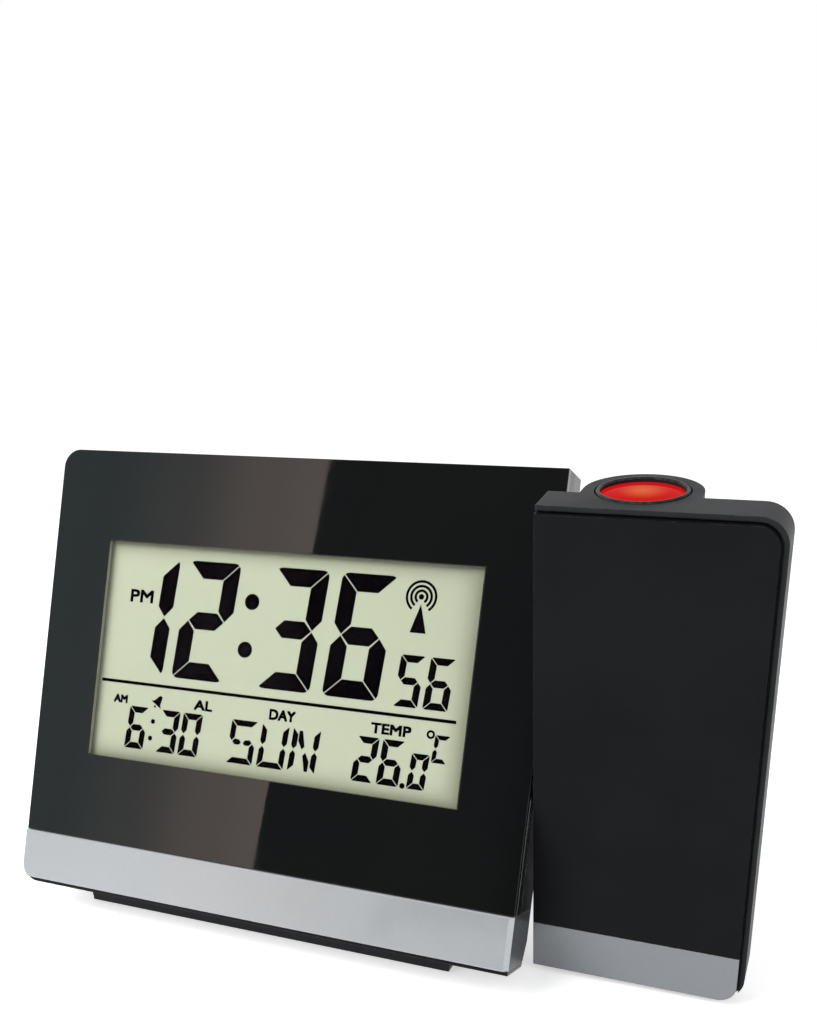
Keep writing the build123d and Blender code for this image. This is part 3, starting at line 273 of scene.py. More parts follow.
def make_handling():
    """Where fingers and cloths have dulled or polished a surface: smudges with fine wipe lines."""
    tree, start, end = new_group(
        "handling", [("Smudge Scale", 90.0), ("Rough Low", 0.3), ("Rough High", 0.4)],
        [("Roughness", FLOAT), ("Smudge", FLOAT)],
    )
    place = place_on(tree)
    smudge = add(tree, "ShaderNodeTexNoise", Vector=place, Detail=5.0, Roughness=0.62, Distortion=0.6)
    wire(tree, start.outputs["Smudge Scale"], smudge.inputs["Scale"])
    stretched = add(
        tree, "ShaderNodeMapping", Vector=place, Scale=(1.0, 9.0, 9.0), Rotation=(0.2, 0.5, 0.3)
    )
    wipes = add(tree, "ShaderNodeTexNoise", Vector=stretched.outputs[0], Scale=420.0, Detail=2.0)
    mask = spread(tree, smudge.outputs["Fac"], 0.38, 0.66)
    lines = spread(tree, wipes.outputs["Fac"], 0.52, 0.72)
    both = maths(tree, "ADD", maths(tree, "MULTIPLY", mask, 0.8), maths(tree, "MULTIPLY", lines, 0.2))
    roughness = spread(tree, both, 0.0, 1.0, start.outputs["Rough Low"], start.outputs["Rough High"])
    wire(tree, roughness, end.inputs["Roughness"])
    wire(tree, both, end.inputs["Smudge"])
    return tree


def make_edge_wear():
    """Mask of the outer edges, broken up, where paint or grain has rubbed away."""
    tree, start, end = new_group(
        "edge_wear", [("Width", 0.0004), ("Break Scale", 700.0), ("Amount", 0.6)],
        [("Mask", FLOAT), ("Rounded", "NodeSocketVector")],
    )
    rounded = add(tree, "ShaderNodeBevel", samples=6)
    wire(tree, start.outputs["Width"], rounded.inputs["Radius"])
    turn = vector_maths(tree, "DOT_PRODUCT", rounded.outputs[0], normal_of(tree), "Value")
    edge = spread(tree, turn, 0.995, 0.86)
    place = place_on(tree)
    chips = add(tree, "ShaderNodeTexNoise", Vector=place, Detail=4.0, Roughness=0.7)
    wire(tree, start.outputs["Break Scale"], chips.inputs["Scale"])
    broken = spread(tree, chips.outputs["Fac"], 0.42, 0.6)
    mask = maths(tree, "MULTIPLY", maths(tree, "MULTIPLY", edge, broken), start.outputs["Amount"])
    wire(tree, mask, end.inputs["Mask"])
    wire(tree, rounded.outputs[0], end.inputs["Rounded"])
    return tree


def make_brushed_lines():
    """Short hair lines along one direction with a fine sparkle, as in brushed or sprayed metal."""
    tree, start, end = new_group(
        "brushed_lines", [("Line Scale", 900.0), ("Stretch", 24.0), ("Sparkle Scale", 5200.0)],
        [("Lines", FLOAT), ("Sparkle", FLOAT)],
    )
    place = place_on(tree)
    narrow = add(tree, "ShaderNodeCombineXYZ", Y=1.0, Z=1.0)
    wire(tree, maths(tree, "DIVIDE", 1.0, start.outputs["Stretch"]), narrow.inputs["X"])
    along = vector_maths(tree, "MULTIPLY", place, narrow.outputs[0])
    lines = add(tree, "ShaderNodeTexNoise", Vector=along, Detail=2.0)
    wire(tree, start.outputs["Line Scale"], lines.inputs["Scale"])
    sparkle = add(tree, "ShaderNodeTexNoise", Vector=place, Detail=1.0)
    wire(tree, start.outputs["Sparkle Scale"], sparkle.inputs["Scale"])
    wire(tree, lines.outputs["Fac"], end.inputs["Lines"])
    wire(tree, sparkle.outputs["Fac"], end.inputs["Sparkle"])
    return tree


grain_group = make_moulding_grain()
handling_group = make_handling()
wear_group = make_edge_wear()
brushed_group = make_brushed_lines()

# ---------------------------------------------------------------- materials


def new_material(name, **sockets):
    """A Principled material; socket values are given with _ for a space."""
    material = bpy.data.materials.new(name)
    material.use_nodes = True
    shader = material.node_tree.nodes["Principled BSDF"]
    for key, value in sockets.items():
        shader.inputs[key.replace("_", " ")].default_value = value
    return material, material.node_tree, shader


def relief(tree, shader, height, depth, normal=None):
    """Bump of this depth in metres on the shader, over an optional rounded normal."""
    bump = add(tree, "ShaderNodeBump", Strength=1.0, Distance=depth)
    wire(tree, height, bump.inputs["Height"])
    if normal is not None:
        wire(tree, normal, bump.inputs["Normal"])
    wire(tree, bump.outputs[0], shader.inputs["Normal"])


def moulded(name, colour, worn, rough, grain=2.5e-6, grain_scale=6000.0, wear=0.5, **sockets):
    """Moulded plastic: grain in relief, uneven gloss, and edges rubbed to a lighter tone."""
    material, tree, shader = new_material(name, **sockets)
    grains = place_group(tree, grain_group, Grain_Scale=grain_scale, Swirl_Scale=45.0)
    hands = place_group(tree, handling_group, Smudge_Scale=70.0, Rough_Low=rough[0], Rough_High=rough[1])
    edges = place_group(tree, wear_group, Width=0.0003, Break_Scale=600.0, Amount=wear)
    tone = tuple(c * 1.25 for c in colour[:3]) + (1.0,)
    base = blend_colour(tree, grains.outputs["Swirl"], colour, tone)
    wire(tree, blend_colour(tree, edges.outputs["Mask"], base, worn), shader.inputs["Base Color"])
    wire(tree, hands.outputs["Roughness"], shader.inputs["Roughness"])
    relief(tree, shader, grains.outputs["Height"], grain, edges.outputs["Rounded"])
    return material


def metal(name, colour, worn, rough, line_depth=1.5e-6, metallic=1.0, right_face_shade=None):
    """Brushed or sprayed metal with fine lines and bright edges; faces turned to the right can take a
    painted darker shade.
    """
    material, tree, shader = new_material(name, Metallic=metallic)
    lines = place_group(tree, brushed_group, Line_Scale=900.0, Stretch=24.0, Sparkle_Scale=5200.0)
    hands = place_group(tree, handling_group, Smudge_Scale=60.0, Rough_Low=rough[0], Rough_High=rough[1])
    edges = place_group(tree, wear_group, Width=0.0003, Break_Scale=900.0, Amount=0.4)
    dark = tuple(c * 0.88 for c in colour[:3]) + (1.0,)
    light = tuple(min(c * 1.12, 1.0) for c in colour[:3]) + (1.0,)
    base = blend_colour(tree, lines.outputs["Sparkle"], dark, light)
    if right_face_shade:
        # painted shade: faces turned towards +X take the darker colour, where the band's right end turns
        # away from the light
        normal = add(tree, "ShaderNodeSeparateXYZ", Vector=normal_of(tree))
        base = blend_colour(tree, spread(tree, normal.outputs["X"], 0.8, 0.95), base, right_face_shade)
    wire(tree, blend_colour(tree, edges.outputs["Mask"], base, worn), shader.inputs["Base Color"])
    wire(tree, hands.outputs["Roughness"], shader.inputs["Roughness"])
    relief(tree, shader, lines.outputs["Lines"], line_depth, edges.outputs["Rounded"])
    return material


def make_gloss_panel():
    """Polished black acrylic: hair scratches and dust that only show in the gloss."""
    material, tree, shader = new_material("gloss_panel", IOR=1.49, Coat_IOR=1.5)
    hands = place_group(tree, handling_group, Smudge_Scale=35.0, Rough_Low=0.015, Rough_High=0.045)
    grains = place_group(tree, grain_group, Grain_Scale=260.0, Swirl_Scale=25.0)
    edges = place_group(tree, wear_group, Width=0.00025, Break_Scale=500.0, Amount=0.35)
    base = blend_colour(tree, grains.outputs["Swirl"], linear(6, 7, 8), linear(8, 9, 9))
    base = blend_colour(tree, edges.outputs["Mask"], base, linear(60, 62, 64))
    wire(tree, base, shader.inputs["Base Color"])
    wire(tree, hands.outputs["Roughness"], shader.inputs["Roughness"])
    relief(tree, shader, grains.outputs["Height"], 1.2e-6, edges.outputs["Rounded"])
    return material


def make_window():
    """Clear window over the display, seen by its gloss alone; its cut sides are opaque and painted a pale
    tone that stands in for the display's light seen through them.
    """
    material, tree, shader = new_material("window_clear", IOR=1.46)
    hands = place_group(tree, handling_group, Smudge_Scale=35.0, Rough_Low=0.01, Rough_High=0.05)
    facing = vector_maths(tree, "DOT_PRODUCT", normal_of(tree), glass.out, "Value")
    # painted light: the cut sides are made opaque and take the pale tone of the display's light
    side = maths(tree, "LESS_THAN", maths(tree, "ABSOLUTE", facing), 0.5)
    base = blend_colour(tree, hands.outputs["Smudge"], linear(20, 22, 21), linear(60, 62, 58))
    wire(tree, blend_colour(tree, side, base, linear(142, 144, 125)), shader.inputs["Base Color"])
    wire(tree, spread(tree, side, 0.0, 1.0, 0.02, 1.0), shader.inputs["Alpha"])
    wire(tree, hands.outputs["Roughness"], shader.inputs["Roughness"])
    relief(tree, shader, hands.outputs["Smudge"], 1e-6)
    return material


def make_display():
    """Pale green reflector of the display, with painted shade: darker and warmer towards the edges of its
    window, where the window's edges shade it.
    """
    material, tree, shader = new_material("display_reflector", Roughness=0.5, Specular_IOR_Level=0.1)
    middle = glass.point(DISPLAY_MIDDLE, glass.height / MM / 2)
    offset = vector_maths(tree, "SUBTRACT", place_on(tree), middle)
    inside = []
    for axis, half, soft in (
        (glass.across, DISPLAY_HALF_WIDTH, DISPLAY_SHADE_SIDE),
        (glass.up, DISPLAY_HALF_HEIGHT, DISPLAY_SHADE_TOP),
    ):
        away = maths(tree, "ABSOLUTE", vector_maths(tree, "DOT_PRODUCT", offset, axis, "Value"))
        past = maths(tree, "SUBTRACT", away, (half - soft) * MM)
        shade = maths(tree, "DIVIDE", past, soft * MM, clamp=True)
        inside.append(maths(tree, "SUBTRACT", 1.0, maths(tree, "POWER", shade, 2.0)))
    # painted shade: 1 over the open middle, falling to 0 at the window's edges, where the colour turns to
    # the darker, warmer edge tone
    unshaded_share = maths(tree, "MULTIPLY", *inside)
    grains = place_group(tree, grain_group, Grain_Scale=3500.0, Swirl_Scale=30.0)
    pale = blend_colour(tree, grains.outputs["Swirl"], linear(172, 178, 156), linear(170, 176, 154))
    wire(tree, blend_colour(tree, unshaded_share, linear(134, 137, 117), pale), shader.inputs["Base Color"])
    relief(tree, shader, grains.outputs["Height"], 0.8e-6)
    return material


def make_display_ink():
    """Switched-on crystal: black with the faintest blue, no gloss of its own."""
    material, tree, shader = new_material("display_segments", Roughness=0.8, Specular_IOR_Level=0.0)
    grains = place_group(tree, grain_group, Grain_Scale=4000.0, Swirl_Scale=90.0)
    base = blend_colour(tree, grains.outputs["Swirl"], linear(3, 1, 3), linear(7, 5, 8))
    wire(tree, base, shader.inputs["Base Color"])
    relief(tree, shader, grains.outputs["Height"], 0.5e-6)
    return material


def make_lens():
    """Moulded lens with a painted glow in place of the red lamp shining through it: orange in the middle,
    deep red at the rim.
    """
    material, tree, shader = new_material(
        "projection_lens", IOR=1.2, Specular_IOR_Level=0.02, Emission_Strength=0.95
    )
    low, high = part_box("projection_lens")
    away = vector_maths(tree, "DISTANCE", place_on(tree), (low + high) / 2, "Value")
    rim = spread(tree, away, 0.0, (high.x - low.x) / 2 * LENS_GLOW_SHARE)
    hands = place_group(tree, handling_group, Smudge_Scale=120.0, Rough_Low=0.04, Rough_High=0.12)
    # painted glow: emission on the lens stands in for the lamp's light coming through it
    glow = blend_colour(tree, rim, linear(230, 112, 52), linear(208, 16, 12))
    wire(tree, glow, shader.inputs["Emission Color"])
    wire(tree, blend_colour(tree, rim, linear(30, 6, 4), linear(10, 1, 1)), shader.inputs["Base Color"])
    wire(tree, hands.outputs["Roughness"], shader.inputs["Roughness"])
    relief(tree, shader, hands.outputs["Smudge"], 1e-6)
    return material


def make_clear(name, colour, **sockets):
    """Small clear moulding such as a lens or the lamp's dome."""
    material, tree, shader = new_material(name, Transmission_Weight=0.9, IOR=1.49, **sockets)
    hands = place_group(tree, handling_group, Smudge_Scale=200.0, Rough_Low=0.02, Rough_High=0.08)
    base = blend_colour(tree, hands.outputs["Smudge"], colour, linear(215, 215, 210))
    wire(tree, base, shader.inputs["Base Color"])
    wire(tree, hands.outputs["Roughness"], shader.inputs["Roughness"])
    relief(tree, shader, hands.outputs["Smudge"], 1e-6)
    return material


def make_board():
    """Solder resist over copper tracks."""
    material, tree, shader = new_material("circuit_board", Roughness=0.35, Coat_Weight=0.3)
    tracks = add(
        tree, "ShaderNodeTexVoronoi", Vector=place_on(tree), Scale=420.0, feature="F1",
        distance="MANHATTAN",
    )
    mask = spread(tree, tracks.outputs["Distance"], 0.42, 0.5)
    base = blend_colour(tree, mask, linear(18, 70, 38), linear(38, 104, 60))
    grains = place_group(tree, grain_group, Grain_Scale=3000.0, Swirl_Scale=80.0)
    wire(tree, base, shader.inputs["Base Color"])
    wire(tree, spread(tree, grains.outputs["Height"], 0.3, 0.7, 0.28, 0.4), shader.inputs["Roughness"])
    relief(tree, shader, mask, 2e-5)
    return material


worn_black = linear(74, 76, 78)
materials = {
    "case_black": moulded(
        "case_moulding", linear(18, 20, 22), worn_black, (0.29, 0.37), Specular_IOR_Level=0.7,
    ),
    "rim_black": moulded(
        "case_rim", linear(14, 15, 17), worn_black, (0.22, 0.34), grain=1e-6, wear=0.15,
        Specular_IOR_Level=0.2,
    ),
    "panel_black": make_gloss_panel(),
    "arm_panel": moulded(
        "arm_panel_satin", linear(17, 18, 20), worn_black, (0.45, 0.5), grain=2e-6, grain_scale=4200.0,
        wear=0.3, Specular_IOR_Level=0.05,
    ),
    "arm_housing": moulded(
        "arm_moulding", linear(34, 37, 38), linear(74, 76, 78), (0.4, 0.5), Specular_IOR_Level=0.06,
    ),
    "window_clear": make_window(),
    "lcd_green": make_display(),
    "guide_white": moulded("light_guide", linear(226, 228, 224), linear(240, 240, 236), (0.3, 0.45)),
    "strip_pink": moulded("contact_rubber", linear(190, 130, 138), linear(205, 160, 165), (0.55, 0.7)),
    # the band's right end gets painted shade, a darker colour on its faces turned to the right
    "band_silver": metal(
        "band_silver", linear(175, 178, 181), linear(236, 237, 240), (0.3, 0.38), line_depth=3e-6,
        metallic=0.6, right_face_shade=linear(88, 92, 95),
    ),
    "board_green": make_board(),
    "chip_black": moulded("chip_resin", linear(22, 22, 22), linear(50, 50, 50), (0.25, 0.4)),
    "steel": metal("zinc_steel", linear(148, 150, 154), linear(190, 191, 195), (0.3, 0.42)),
    "cell_wrap": moulded("cell_sleeve", linear(44, 50, 74), linear(120, 122, 130), (0.18, 0.3), grain=5e-7),
    "ferrite": moulded("ferrite", linear(58, 58, 60), linear(90, 90, 92), (0.5, 0.7), grain=6e-6),
    "copper": metal("enamelled_wire", linear(190, 100, 56), linear(220, 150, 110), (0.25, 0.35)),
    "rubber_black": moulded("foot_rubber", linear(24, 24, 25), linear(44, 44, 45), (0.7, 0.85), grain=8e-6),
    "lens_clear": make_clear("clear_moulding", linear(240, 240, 238)),
    "led_red": make_clear(
        "lamp_dome", linear(210, 30, 26), Emission_Color=linear(255, 40, 20), Emission_Strength=0.6,
    ),
    "lead_grey": moulded("lead_sleeve", linear(92, 93, 96), linear(120, 120, 122), (0.45, 0.6)),
    "key_grey": moulded("key_moulding", linear(88, 90, 93), linear(126, 128, 131), (0.38, 0.5)),
    "foot": moulded("foot_moulding", linear(25, 28, 30), worn_black, (0.4, 0.55), Specular_IOR_Level=0.2),
    "arm_band": metal(
        "arm_band_silver", linear(124, 127, 131), linear(190, 192, 196), (0.36, 0.44), metallic=0.4,
    ),
    "focus": moulded(
        "focus_moulding", linear(30, 31, 33), linear(110, 110, 112), (0.3, 0.4), wear=0.9,
        Specular_IOR_Level=0.12,
    ),
    "lens": make_lens(),
    "ink": make_display_ink(),
}

slot_of = {entry["node"]: entry["material_slot"] for entry in frame["record"]["subparts"]}
own_finish = {
    "front_case": "rim_black", "arm_panel": "arm_panel", "arm_shell": "arm_housing", "foot_base": "foot",
    "focus_ring": "focus", "projection_lens": "lens", "arm_band": "arm_band",
}

for node_name, node in nodes.items():
    finish = own_finish.get(node_name) or slot_of[node_name]
    for material_slot in node.material_slots:
        material_slot.link = "OBJECT"
        material_slot.material = materials[finish]

seat = nodes["display_window"].modifiers.new("seat", "DISPLACE")
seat.mid_level = 0.0
seat.strength = -WINDOW_GAP * MM

# ---------------------------------------------------------------- display marks


def inset(outline, distance):
    """A convex outline moved inwards, its points given anticlockwise."""
    moved = []
    count = len(outline)
    for i in range(count):
        before, here, after = outline[i - 1], outline[i], outline[(i + 1) % count]
        into, out = (here - before).normalized(), (after - here).normalized()
        left_in, left_out = Vector((-into.y, into.x)), Vector((-out.y, out.x))
        corner = (left_in + left_out).normalized()
        moved.append(here + corner * distance / max(corner.dot(left_in), 0.3))
    return moved


def arc_point(across, up, radius, degrees):
    turn = math.radians(degrees)
    return Vector((across + radius * math.cos(turn), up + radius * math.sin(turn)))


def half_corner(corner, inwards, first, last, radius, steps=3):
    """Half of a rounded outer corner, from the cut through it to the straight side."""
    across, up = (c + way * radius for c, way in zip(corner, inwards))
    return [arc_point(across, up, radius, first + (last - first) * i / steps) for i in range(steps + 1)]


def flip(outline, across=None, up=None):
    """Mirror image of an outline about a line, kept anticlockwise."""
    mirrored = [
        Vector((2 * across - p.x if across is not None else p.x, 2 * up - p.y if up is not None else p.y))
        for p in outline
    ]
    turned = (across is not None) != (up is not None)
    return mirrored[::-1] if turned else mirrored


def digit_segments(width, height, stroke, gap):
    """The seven bars of a digit, each with the gap round it: a on top, then clockwise, g in the middle."""
    corner = stroke * CORNER_SHARE
    width, height, stroke = width + gap, height + gap, stroke + gap
    mid_x, mid_y, point = width / 2, height / 2, stroke * POINT_SHARE
    a = [
        Vector((stroke, height - stroke)), Vector((width - stroke, height - stroke)),
        *half_corner((width, height), (-1, -1), 45, 90, corner),
        *half_corner((0, height), (1, -1), 90, 135, corner),
    ]
    b = [
        Vector((width - stroke / 2, mid_y)), Vector((width, mid_y + point)),
        *half_corner((width, height), (-1, -1), 0, 45, corner),
        Vector((width - stroke, height - stroke)), Vector((width - stroke, mid_y + point)),
    ]
    g = [
        Vector((stroke / 2, mid_y)), Vector((stroke, mid_y - stroke / 2)),
        Vector((width - stroke, mid_y - stroke / 2)), Vector((width - stroke / 2, mid_y)),
        Vector((width - stroke, mid_y + stroke / 2)), Vector((stroke, mid_y + stroke / 2)),
    ]
    c, f = flip(b, up=mid_y), flip(b, across=mid_x)
    return {
        "a": a, "b": b, "c": c, "d": flip(a, up=mid_y), "e": flip(f, up=mid_y), "f": f, "g": g,
    }


def lean(outlines, left, bottom):
    """Slants digits to the right and sets them in place."""
    return [[Vector((left + p.x + p.y * DIGIT_SHEAR, bottom + p.y)) for p in o] for o in outlines]


def digit(character, left, bottom, width, height, stroke, gap=0.22):
    bars = digit_segments(width, height, stroke, gap)
    shown = [inset(bars[s], gap / 2) for s in DIGIT_STROKES[character]]
    return lean(shown, left - gap / 2, bottom - gap / 2)


def letter(character, left, bottom, width, height, stroke, gap=0.2):
    """A starburst letter: the seven bars, with the middle ones split, and slanted blades for N."""
    bars = digit_segments(width, height, stroke, gap)
    mid_x, mid_y = width / 2, height / 2
    left_half = [
        bars["g"][0], bars["g"][1], Vector((mid_x - stroke * 0.4, mid_y - stroke / 2)),
        Vector((mid_x, mid_y)), Vector((mid_x - stroke * 0.4, mid_y + stroke / 2)), bars["g"][5],
    ]
    right_half = flip(left_half, across=(width + gap) / 2)
    blade = [
        Vector((stroke * 1.12, height * 0.72)), Vector((width * 0.42, mid_y + stroke * 0.1)),
        Vector((width * 0.53, mid_y + height * 0.1)), Vector((stroke * 1.85, height * 0.96)),
        Vector((stroke * 1.12, height * 0.96)),
    ]
    shapes = {
        "S": [bars["a"], bars["f"], left_half, right_half, bars["c"], bars["d"]],
        "U": [bars["f"], bars["e"], bars["d"], bars["c"], bars["b"]],
        "N": [bars["f"], bars["e"], bars["c"], bars["b"], blade, flip(flip(blade, across=mid_x), up=mid_y)],
    }
    return lean([inset(o, gap / 2) for o in shapes[character]], left - gap / 2, bottom - gap / 2)


def dot(across, up, radius, points=28):
    return [arc_point(across, up, radius, 360 * i / points) for i in range(points)]


def bar(left, right, bottom, top):
    return [Vector((left, bottom)), Vector((right, bottom)), Vector((right, top)), Vector((left, top))]


def ring(across, up, radius, stroke, opening, points=30):
    """A round stroke, open at the bottom by this half angle, as a chain of quads."""
    outer, inner = radius + stroke / 2, radius - stroke / 2
    turns = [-90 + opening + (360 - 2 * opening) * i / points for i in range(points + 1)]
    return [
        [arc_point(across, up, r, t) for r, t in ((outer, a), (outer, b), (inner, b), (inner, a))]
        for a, b in zip(turns, turns[1:])
    ]


def print_ink(name, outlines):
    """Raises outlines as thin solid ink on the display glass, welded where they share edges."""
    mesh = bpy.data.meshes.new(name)
    shape = bmesh.new()
    for outline in outlines:
        shape.faces.new([shape.verts.new((p.x, p.y, 0)) for p in outline])
    bmesh.ops.remove_doubles(shape, verts=shape.verts, dist=WELD)
    bmesh.ops.recalc_face_normals(shape, faces=shape.faces)
    grown = bmesh.ops.extrude_face_region(shape, geom=shape.faces[:])
    top = [v for v in grown["geom"] if isinstance(v, bmesh.types.BMVert)]
    bmesh.ops.translate(shape, verts=top, vec=(0, 0, INK_FRONT - INK_BACK))
    bmesh.ops.recalc_face_normals(shape, faces=shape.faces)
    for vert in shape.verts:
        vert.co = glass.point(vert.co.x, vert.co.y, INK_BACK + vert.co.z)
    shape.to_mesh(mesh)
    shape.free()
    piece = bpy.data.objects.new(name, mesh)
    bpy.context.scene.collection.objects.link(piece)
    mesh.materials.append(materials["ink"])
    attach(piece, "case")


def legend(name, words, left, right, bottom, top, heavy=0.13):
    """A small word fitted to its place, from the built-in sans face struck four times for weight."""
    text = bpy.data.curves.new(name + "_text", "FONT")
    text.body = words
    text.resolution_u = 3
    holder = bpy.data.objects.new(name + "_text", text)
    bpy.context.scene.collection.objects.link(holder)
    bpy.context.view_layer.update()
    flat = bpy.data.meshes.new_from_object(holder.evaluated_get(bpy.context.evaluated_depsgraph_get()))
    bpy.data.objects.remove(holder)
    across, up = [v.co.x for v in flat.vertices], [v.co.y for v in flat.vertices]
    wide = (right - left) / (max(across) - min(across))
    tall = (top - bottom) / (max(up) - min(up))
    outlines = [
        [
            Vector((left + (flat.vertices[i].co.x - min(across)) * wide + aside,
                    bottom + (flat.vertices[i].co.y - min(up)) * tall + rise))
            for i in face.vertices
        ]
        for face in flat.polygons
        for aside, rise in ((-heavy, -heavy), (heavy, -heavy), (heavy, heavy), (-heavy, heavy))
    ]
    bpy.data.meshes.remove(flat)
    print_ink(name, outlines)


def bell(across, up, size, tilt=-32):
    """The alarm sign: a bell tipped to the left, with its clapper apart."""
    body = [
        (-0.5, -0.28), (0.5, -0.28), (0.3, -0.08), (0.16, 0.38),
        (0.08, 0.5), (-0.08, 0.5), (-0.16, 0.38), (-0.3, -0.08),
    ]
    turn = Matrix.Rotation(math.radians(tilt), 2)
    place = Vector((across, up))
    return [
        [place + turn @ Vector(p) * size for p in body],
        [place + turn @ (Vector((0, -0.44)) + p) * size for p in dot(0, 0, 0.09, 12)],
    ]


print_ink("time_digits", [
    *digit("1", -41.0, TIME_ROW[0], 13.0, TIME_ROW[1], 3.8),
    *digit("2", -25.6, TIME_ROW[0], 12.8, TIME_ROW[1], 3.8),
    *digit("3", -4.3, TIME_ROW[0], 12.6, TIME_ROW[1], 3.8),
    *digit("6", 11.2, TIME_ROW[0], 12.6, TIME_ROW[1], 3.8),
    dot(-7.5, 40.7, 1.75), dot(-8.0, 30.3, 1.75),
])
print_ink("seconds_digits", [
    outline
    for character, left in (("5", 27.3), ("6", 33.8))
    for outline in digit(character, left, SECONDS_ROW[0], 5.4, SECONDS_ROW[1], 1.5, 0.16)
])
print_ink("alarm_digits", [
    *[
        outline
        for character, left in (("6", -35.9), ("3", -27.7), ("0", -22.0))
        for outline in digit(character, left, LOWER_ROW[0], 4.9, LOWER_ROW[1], 1.4, 0.16)
    ],
    dot(-29.0, 12.2, 0.55, 16), dot(-29.3, 8.4, 0.55, 16),
])
print_ink("day_letters", [
    outline
    for character, left in (("S", -9.8), ("U", -2.3), ("N", 5.1))
    for outline in letter(character, left, LOWER_ROW[0], 6.4, LOWER_ROW[1], 1.3)
])
print_ink("temperature_digits", [
    *digit("2", 19.9, LOWER_ROW[0], 4.9, LOWER_ROW[1], 1.4, 0.16),
    *digit("6", 25.6, LOWER_ROW[0], 4.9, LOWER_ROW[1], 1.4, 0.16),
    dot(31.45, 6.0, 0.6, 16),
    *digit("0", 32.3, LOWER_ROW[0], 3.9, 7.4, 1.25, 0.16),
    *ring(36.35, 17.2, 0.68, 0.46, 0.5, 20),
    *digit("C", 37.0, 11.55, 3.3, 5.7, 0.92, 0.12),
])
print_ink("dividing_line", [bar(-43.5, 41.4, 19.9, 20.6)])
print_ink("signal_rings", [
    *[quad for radius in (3.15, 2.2, 1.25) for quad in ring(30.9, 44.8, radius, 0.54, 35)],
])
print_ink("signal_mast", [
    dot(30.9, 44.8, 0.58, 16),
    [Vector((29.2, 37.4)), Vector((32.7, 37.4)), Vector((31.0, 43.3))],
])
print_ink("bell_sign", bell(-28.2, 16.7, 3.0))
legend("pm_legend", "PM", -38.1, -32.4, 38.5, 41.1)
legend("am_legend", "AM", -39.7, -36.3, 15.6, 17.2)
legend("alarm_legend", "AL", -18.9, -14.5, LEGEND_ROW, LEGEND_ROW + 2.0)
legend("day_legend", "DAY", -0.3, 5.7, LEGEND_ROW, LEGEND_ROW + 2.1)
legend("temperature_legend", "TEMP", 23.3, 32.0, LEGEND_ROW, LEGEND_ROW + 2.0)

# ---------------------------------------------------------------- floor, backdrop and light


def seen_directly(tree):
    """1 for rays from the camera, in gloss and through glass, else 0."""
    path = tree.nodes.new("ShaderNodeLightPath")
    seen = maths(tree, "ADD", path.outputs["Is Camera Ray"], path.outputs["Is Glossy Ray"], True)
    return maths(tree, "ADD", seen, path.outputs["Is Transmission Ray"], True)


def place_stage(name, mesh, material):
    mesh.materials.append(material)
    piece = bpy.data.objects.new(name, mesh)
    bpy.context.scene.collection.objects.link(piece)
    return piece


def make_floor():
    """White table, seen as white by camera and gloss but for the shadow that falls on it."""
    material, tree, shader = new_material("white_floor", Roughness=0.9, Specular_IOR_Level=0.0)
    shader.inputs["Base Color"].default_value = (0.9, 0.9, 0.9, 1)
    shader.inputs["Emission Color"].default_value = (1, 1, 1, 1)
    glow = maths(tree, "MULTIPLY", seen_directly(tree), FLOOR_LIFT)
    wire(tree, glow, shader.inputs["Emission Strength"])
    mesh = bpy.data.meshes.new("floor")
    shape = bmesh.new()
    bmesh.ops.create_grid(shape, x_segments=1, y_segments=1, size=FLOOR_HALF)
    shape.to_mesh(mesh)
    shape.free()
    place_stage("floor", mesh, material).location.z = cad_box[0].z


def make_world():
    world = bpy.data.worlds.new("studio")
    bpy.context.scene.world = world
    world.use_nodes = True
    tree = world.node_tree
    background = tree.nodes["Background"]
    background.inputs["Color"].default_value = (1, 1, 1, 1)
    strength = spread(tree, seen_directly(tree), 0.0, 1.0, WORLD_LIGHT, 1.0)
    wire(tree, strength, background.inputs["Strength"])


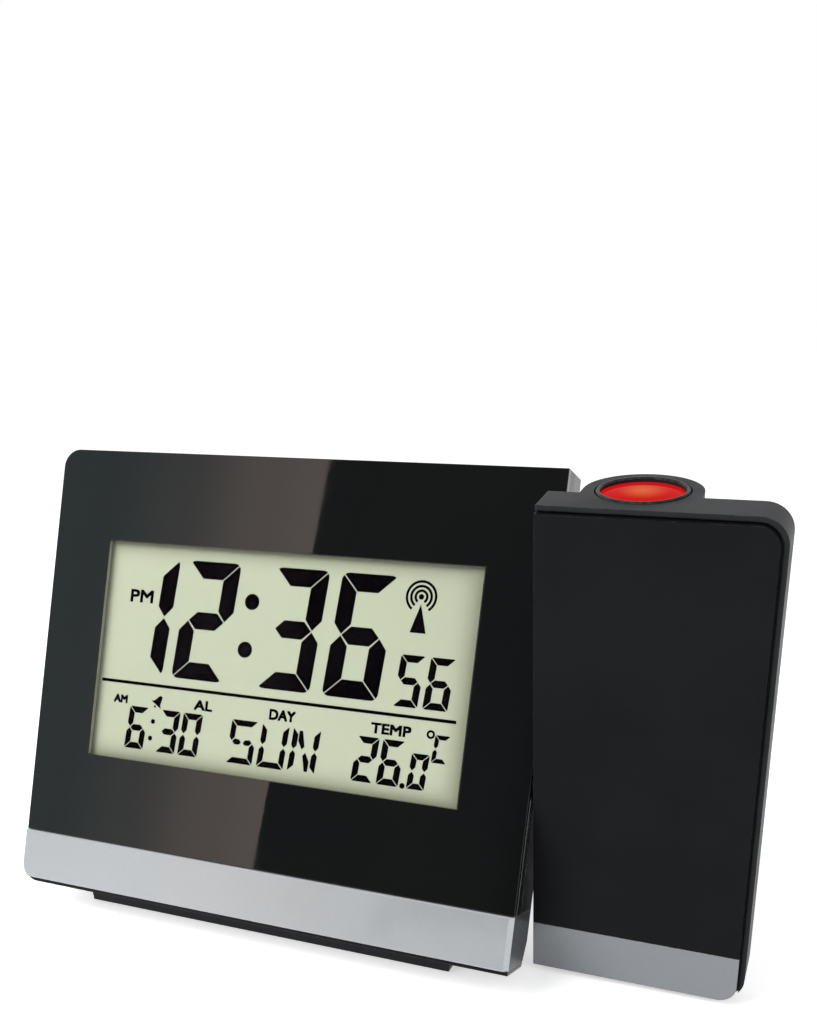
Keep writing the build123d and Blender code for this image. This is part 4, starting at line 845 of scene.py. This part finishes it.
def softbox(name, place, size, power):
    """A square lamp aimed at the middle of the clock, not seen in its gloss."""
    light = bpy.data.lights.new(name, "AREA")
    light.shape = "RECTANGLE"
    light.size = light.size_y = size
    light.energy = power
    lamp = bpy.data.objects.new(name, light)
    bpy.context.scene.collection.objects.link(lamp)
    lamp.location = place
    lamp.rotation_euler = (LAMP_AIM - Vector(place)).to_track_quat("-Z", "Y").to_euler()
    lamp.visible_glossy = False


def make_card(name, middle, right, up, width, height, tones):
    """A studio card seen only in the gloss of the clock; tones run from its left edge to its right."""
    right, up = right.normalized(), up.normalized()
    half_right, half_up = right * width / 2, up * height / 2
    mesh = bpy.data.meshes.new(name)
    mesh.from_pydata([
        middle - half_right - half_up, middle + half_right - half_up,
        middle + half_right + half_up, middle - half_right + half_up,
    ], [], [(0, 1, 2, 3)])
    material = bpy.data.materials.new(name)
    material.use_nodes = True
    tree = material.node_tree
    tree.nodes.clear()
    along = vector_maths(tree, "DOT_PRODUCT", place_on(tree), right, "Value")
    left_edge = middle.dot(right) - width / 2
    tone = tones[0][1]
    for (low, _), (high, level) in zip(tones, tones[1:]):
        share = spread(tree, along, left_edge + low * width, left_edge + high * width)
        tone = blend_colour(tree, share, tone, level)
    glow = add(tree, "ShaderNodeEmission", Color=tone)
    add(tree, "ShaderNodeOutputMaterial", Surface=glow.outputs[0])
    card = place_stage(name, mesh, material)
    for ray in ("camera", "diffuse", "transmission", "volume_scatter", "shadow"):
        setattr(card, "visible_" + ray, False)


make_floor()
make_world()
softbox("key_light", (-0.45, -0.6, 0.6), 0.6, 9.0)
softbox("fill_light", (0.7, -0.5, 0.5), 0.5, 1.2)
make_card("grey_card", CARD_MIDDLE, CARD_RIGHT, CARD_UP, CARD_SIZE, CARD_SIZE, GREY_TONES)
card_out = CARD_RIGHT.cross(CARD_UP)
warm_up = (CARD_UP - CARD_RIGHT * WARM_LEAN).normalized()
warm_right = warm_up.cross(card_out).normalized()
warm_middle = CARD_MIDDLE + CARD_RIGHT * WARM_EDGE - warm_right * WARM_WIDTH / 2 - card_out * WARM_AHEAD
make_card("warm_card", warm_middle, warm_right, warm_up, WARM_WIDTH, CARD_SIZE, WARM_TONES)
bpy.context.scene.view_settings.view_transform = "Standard"
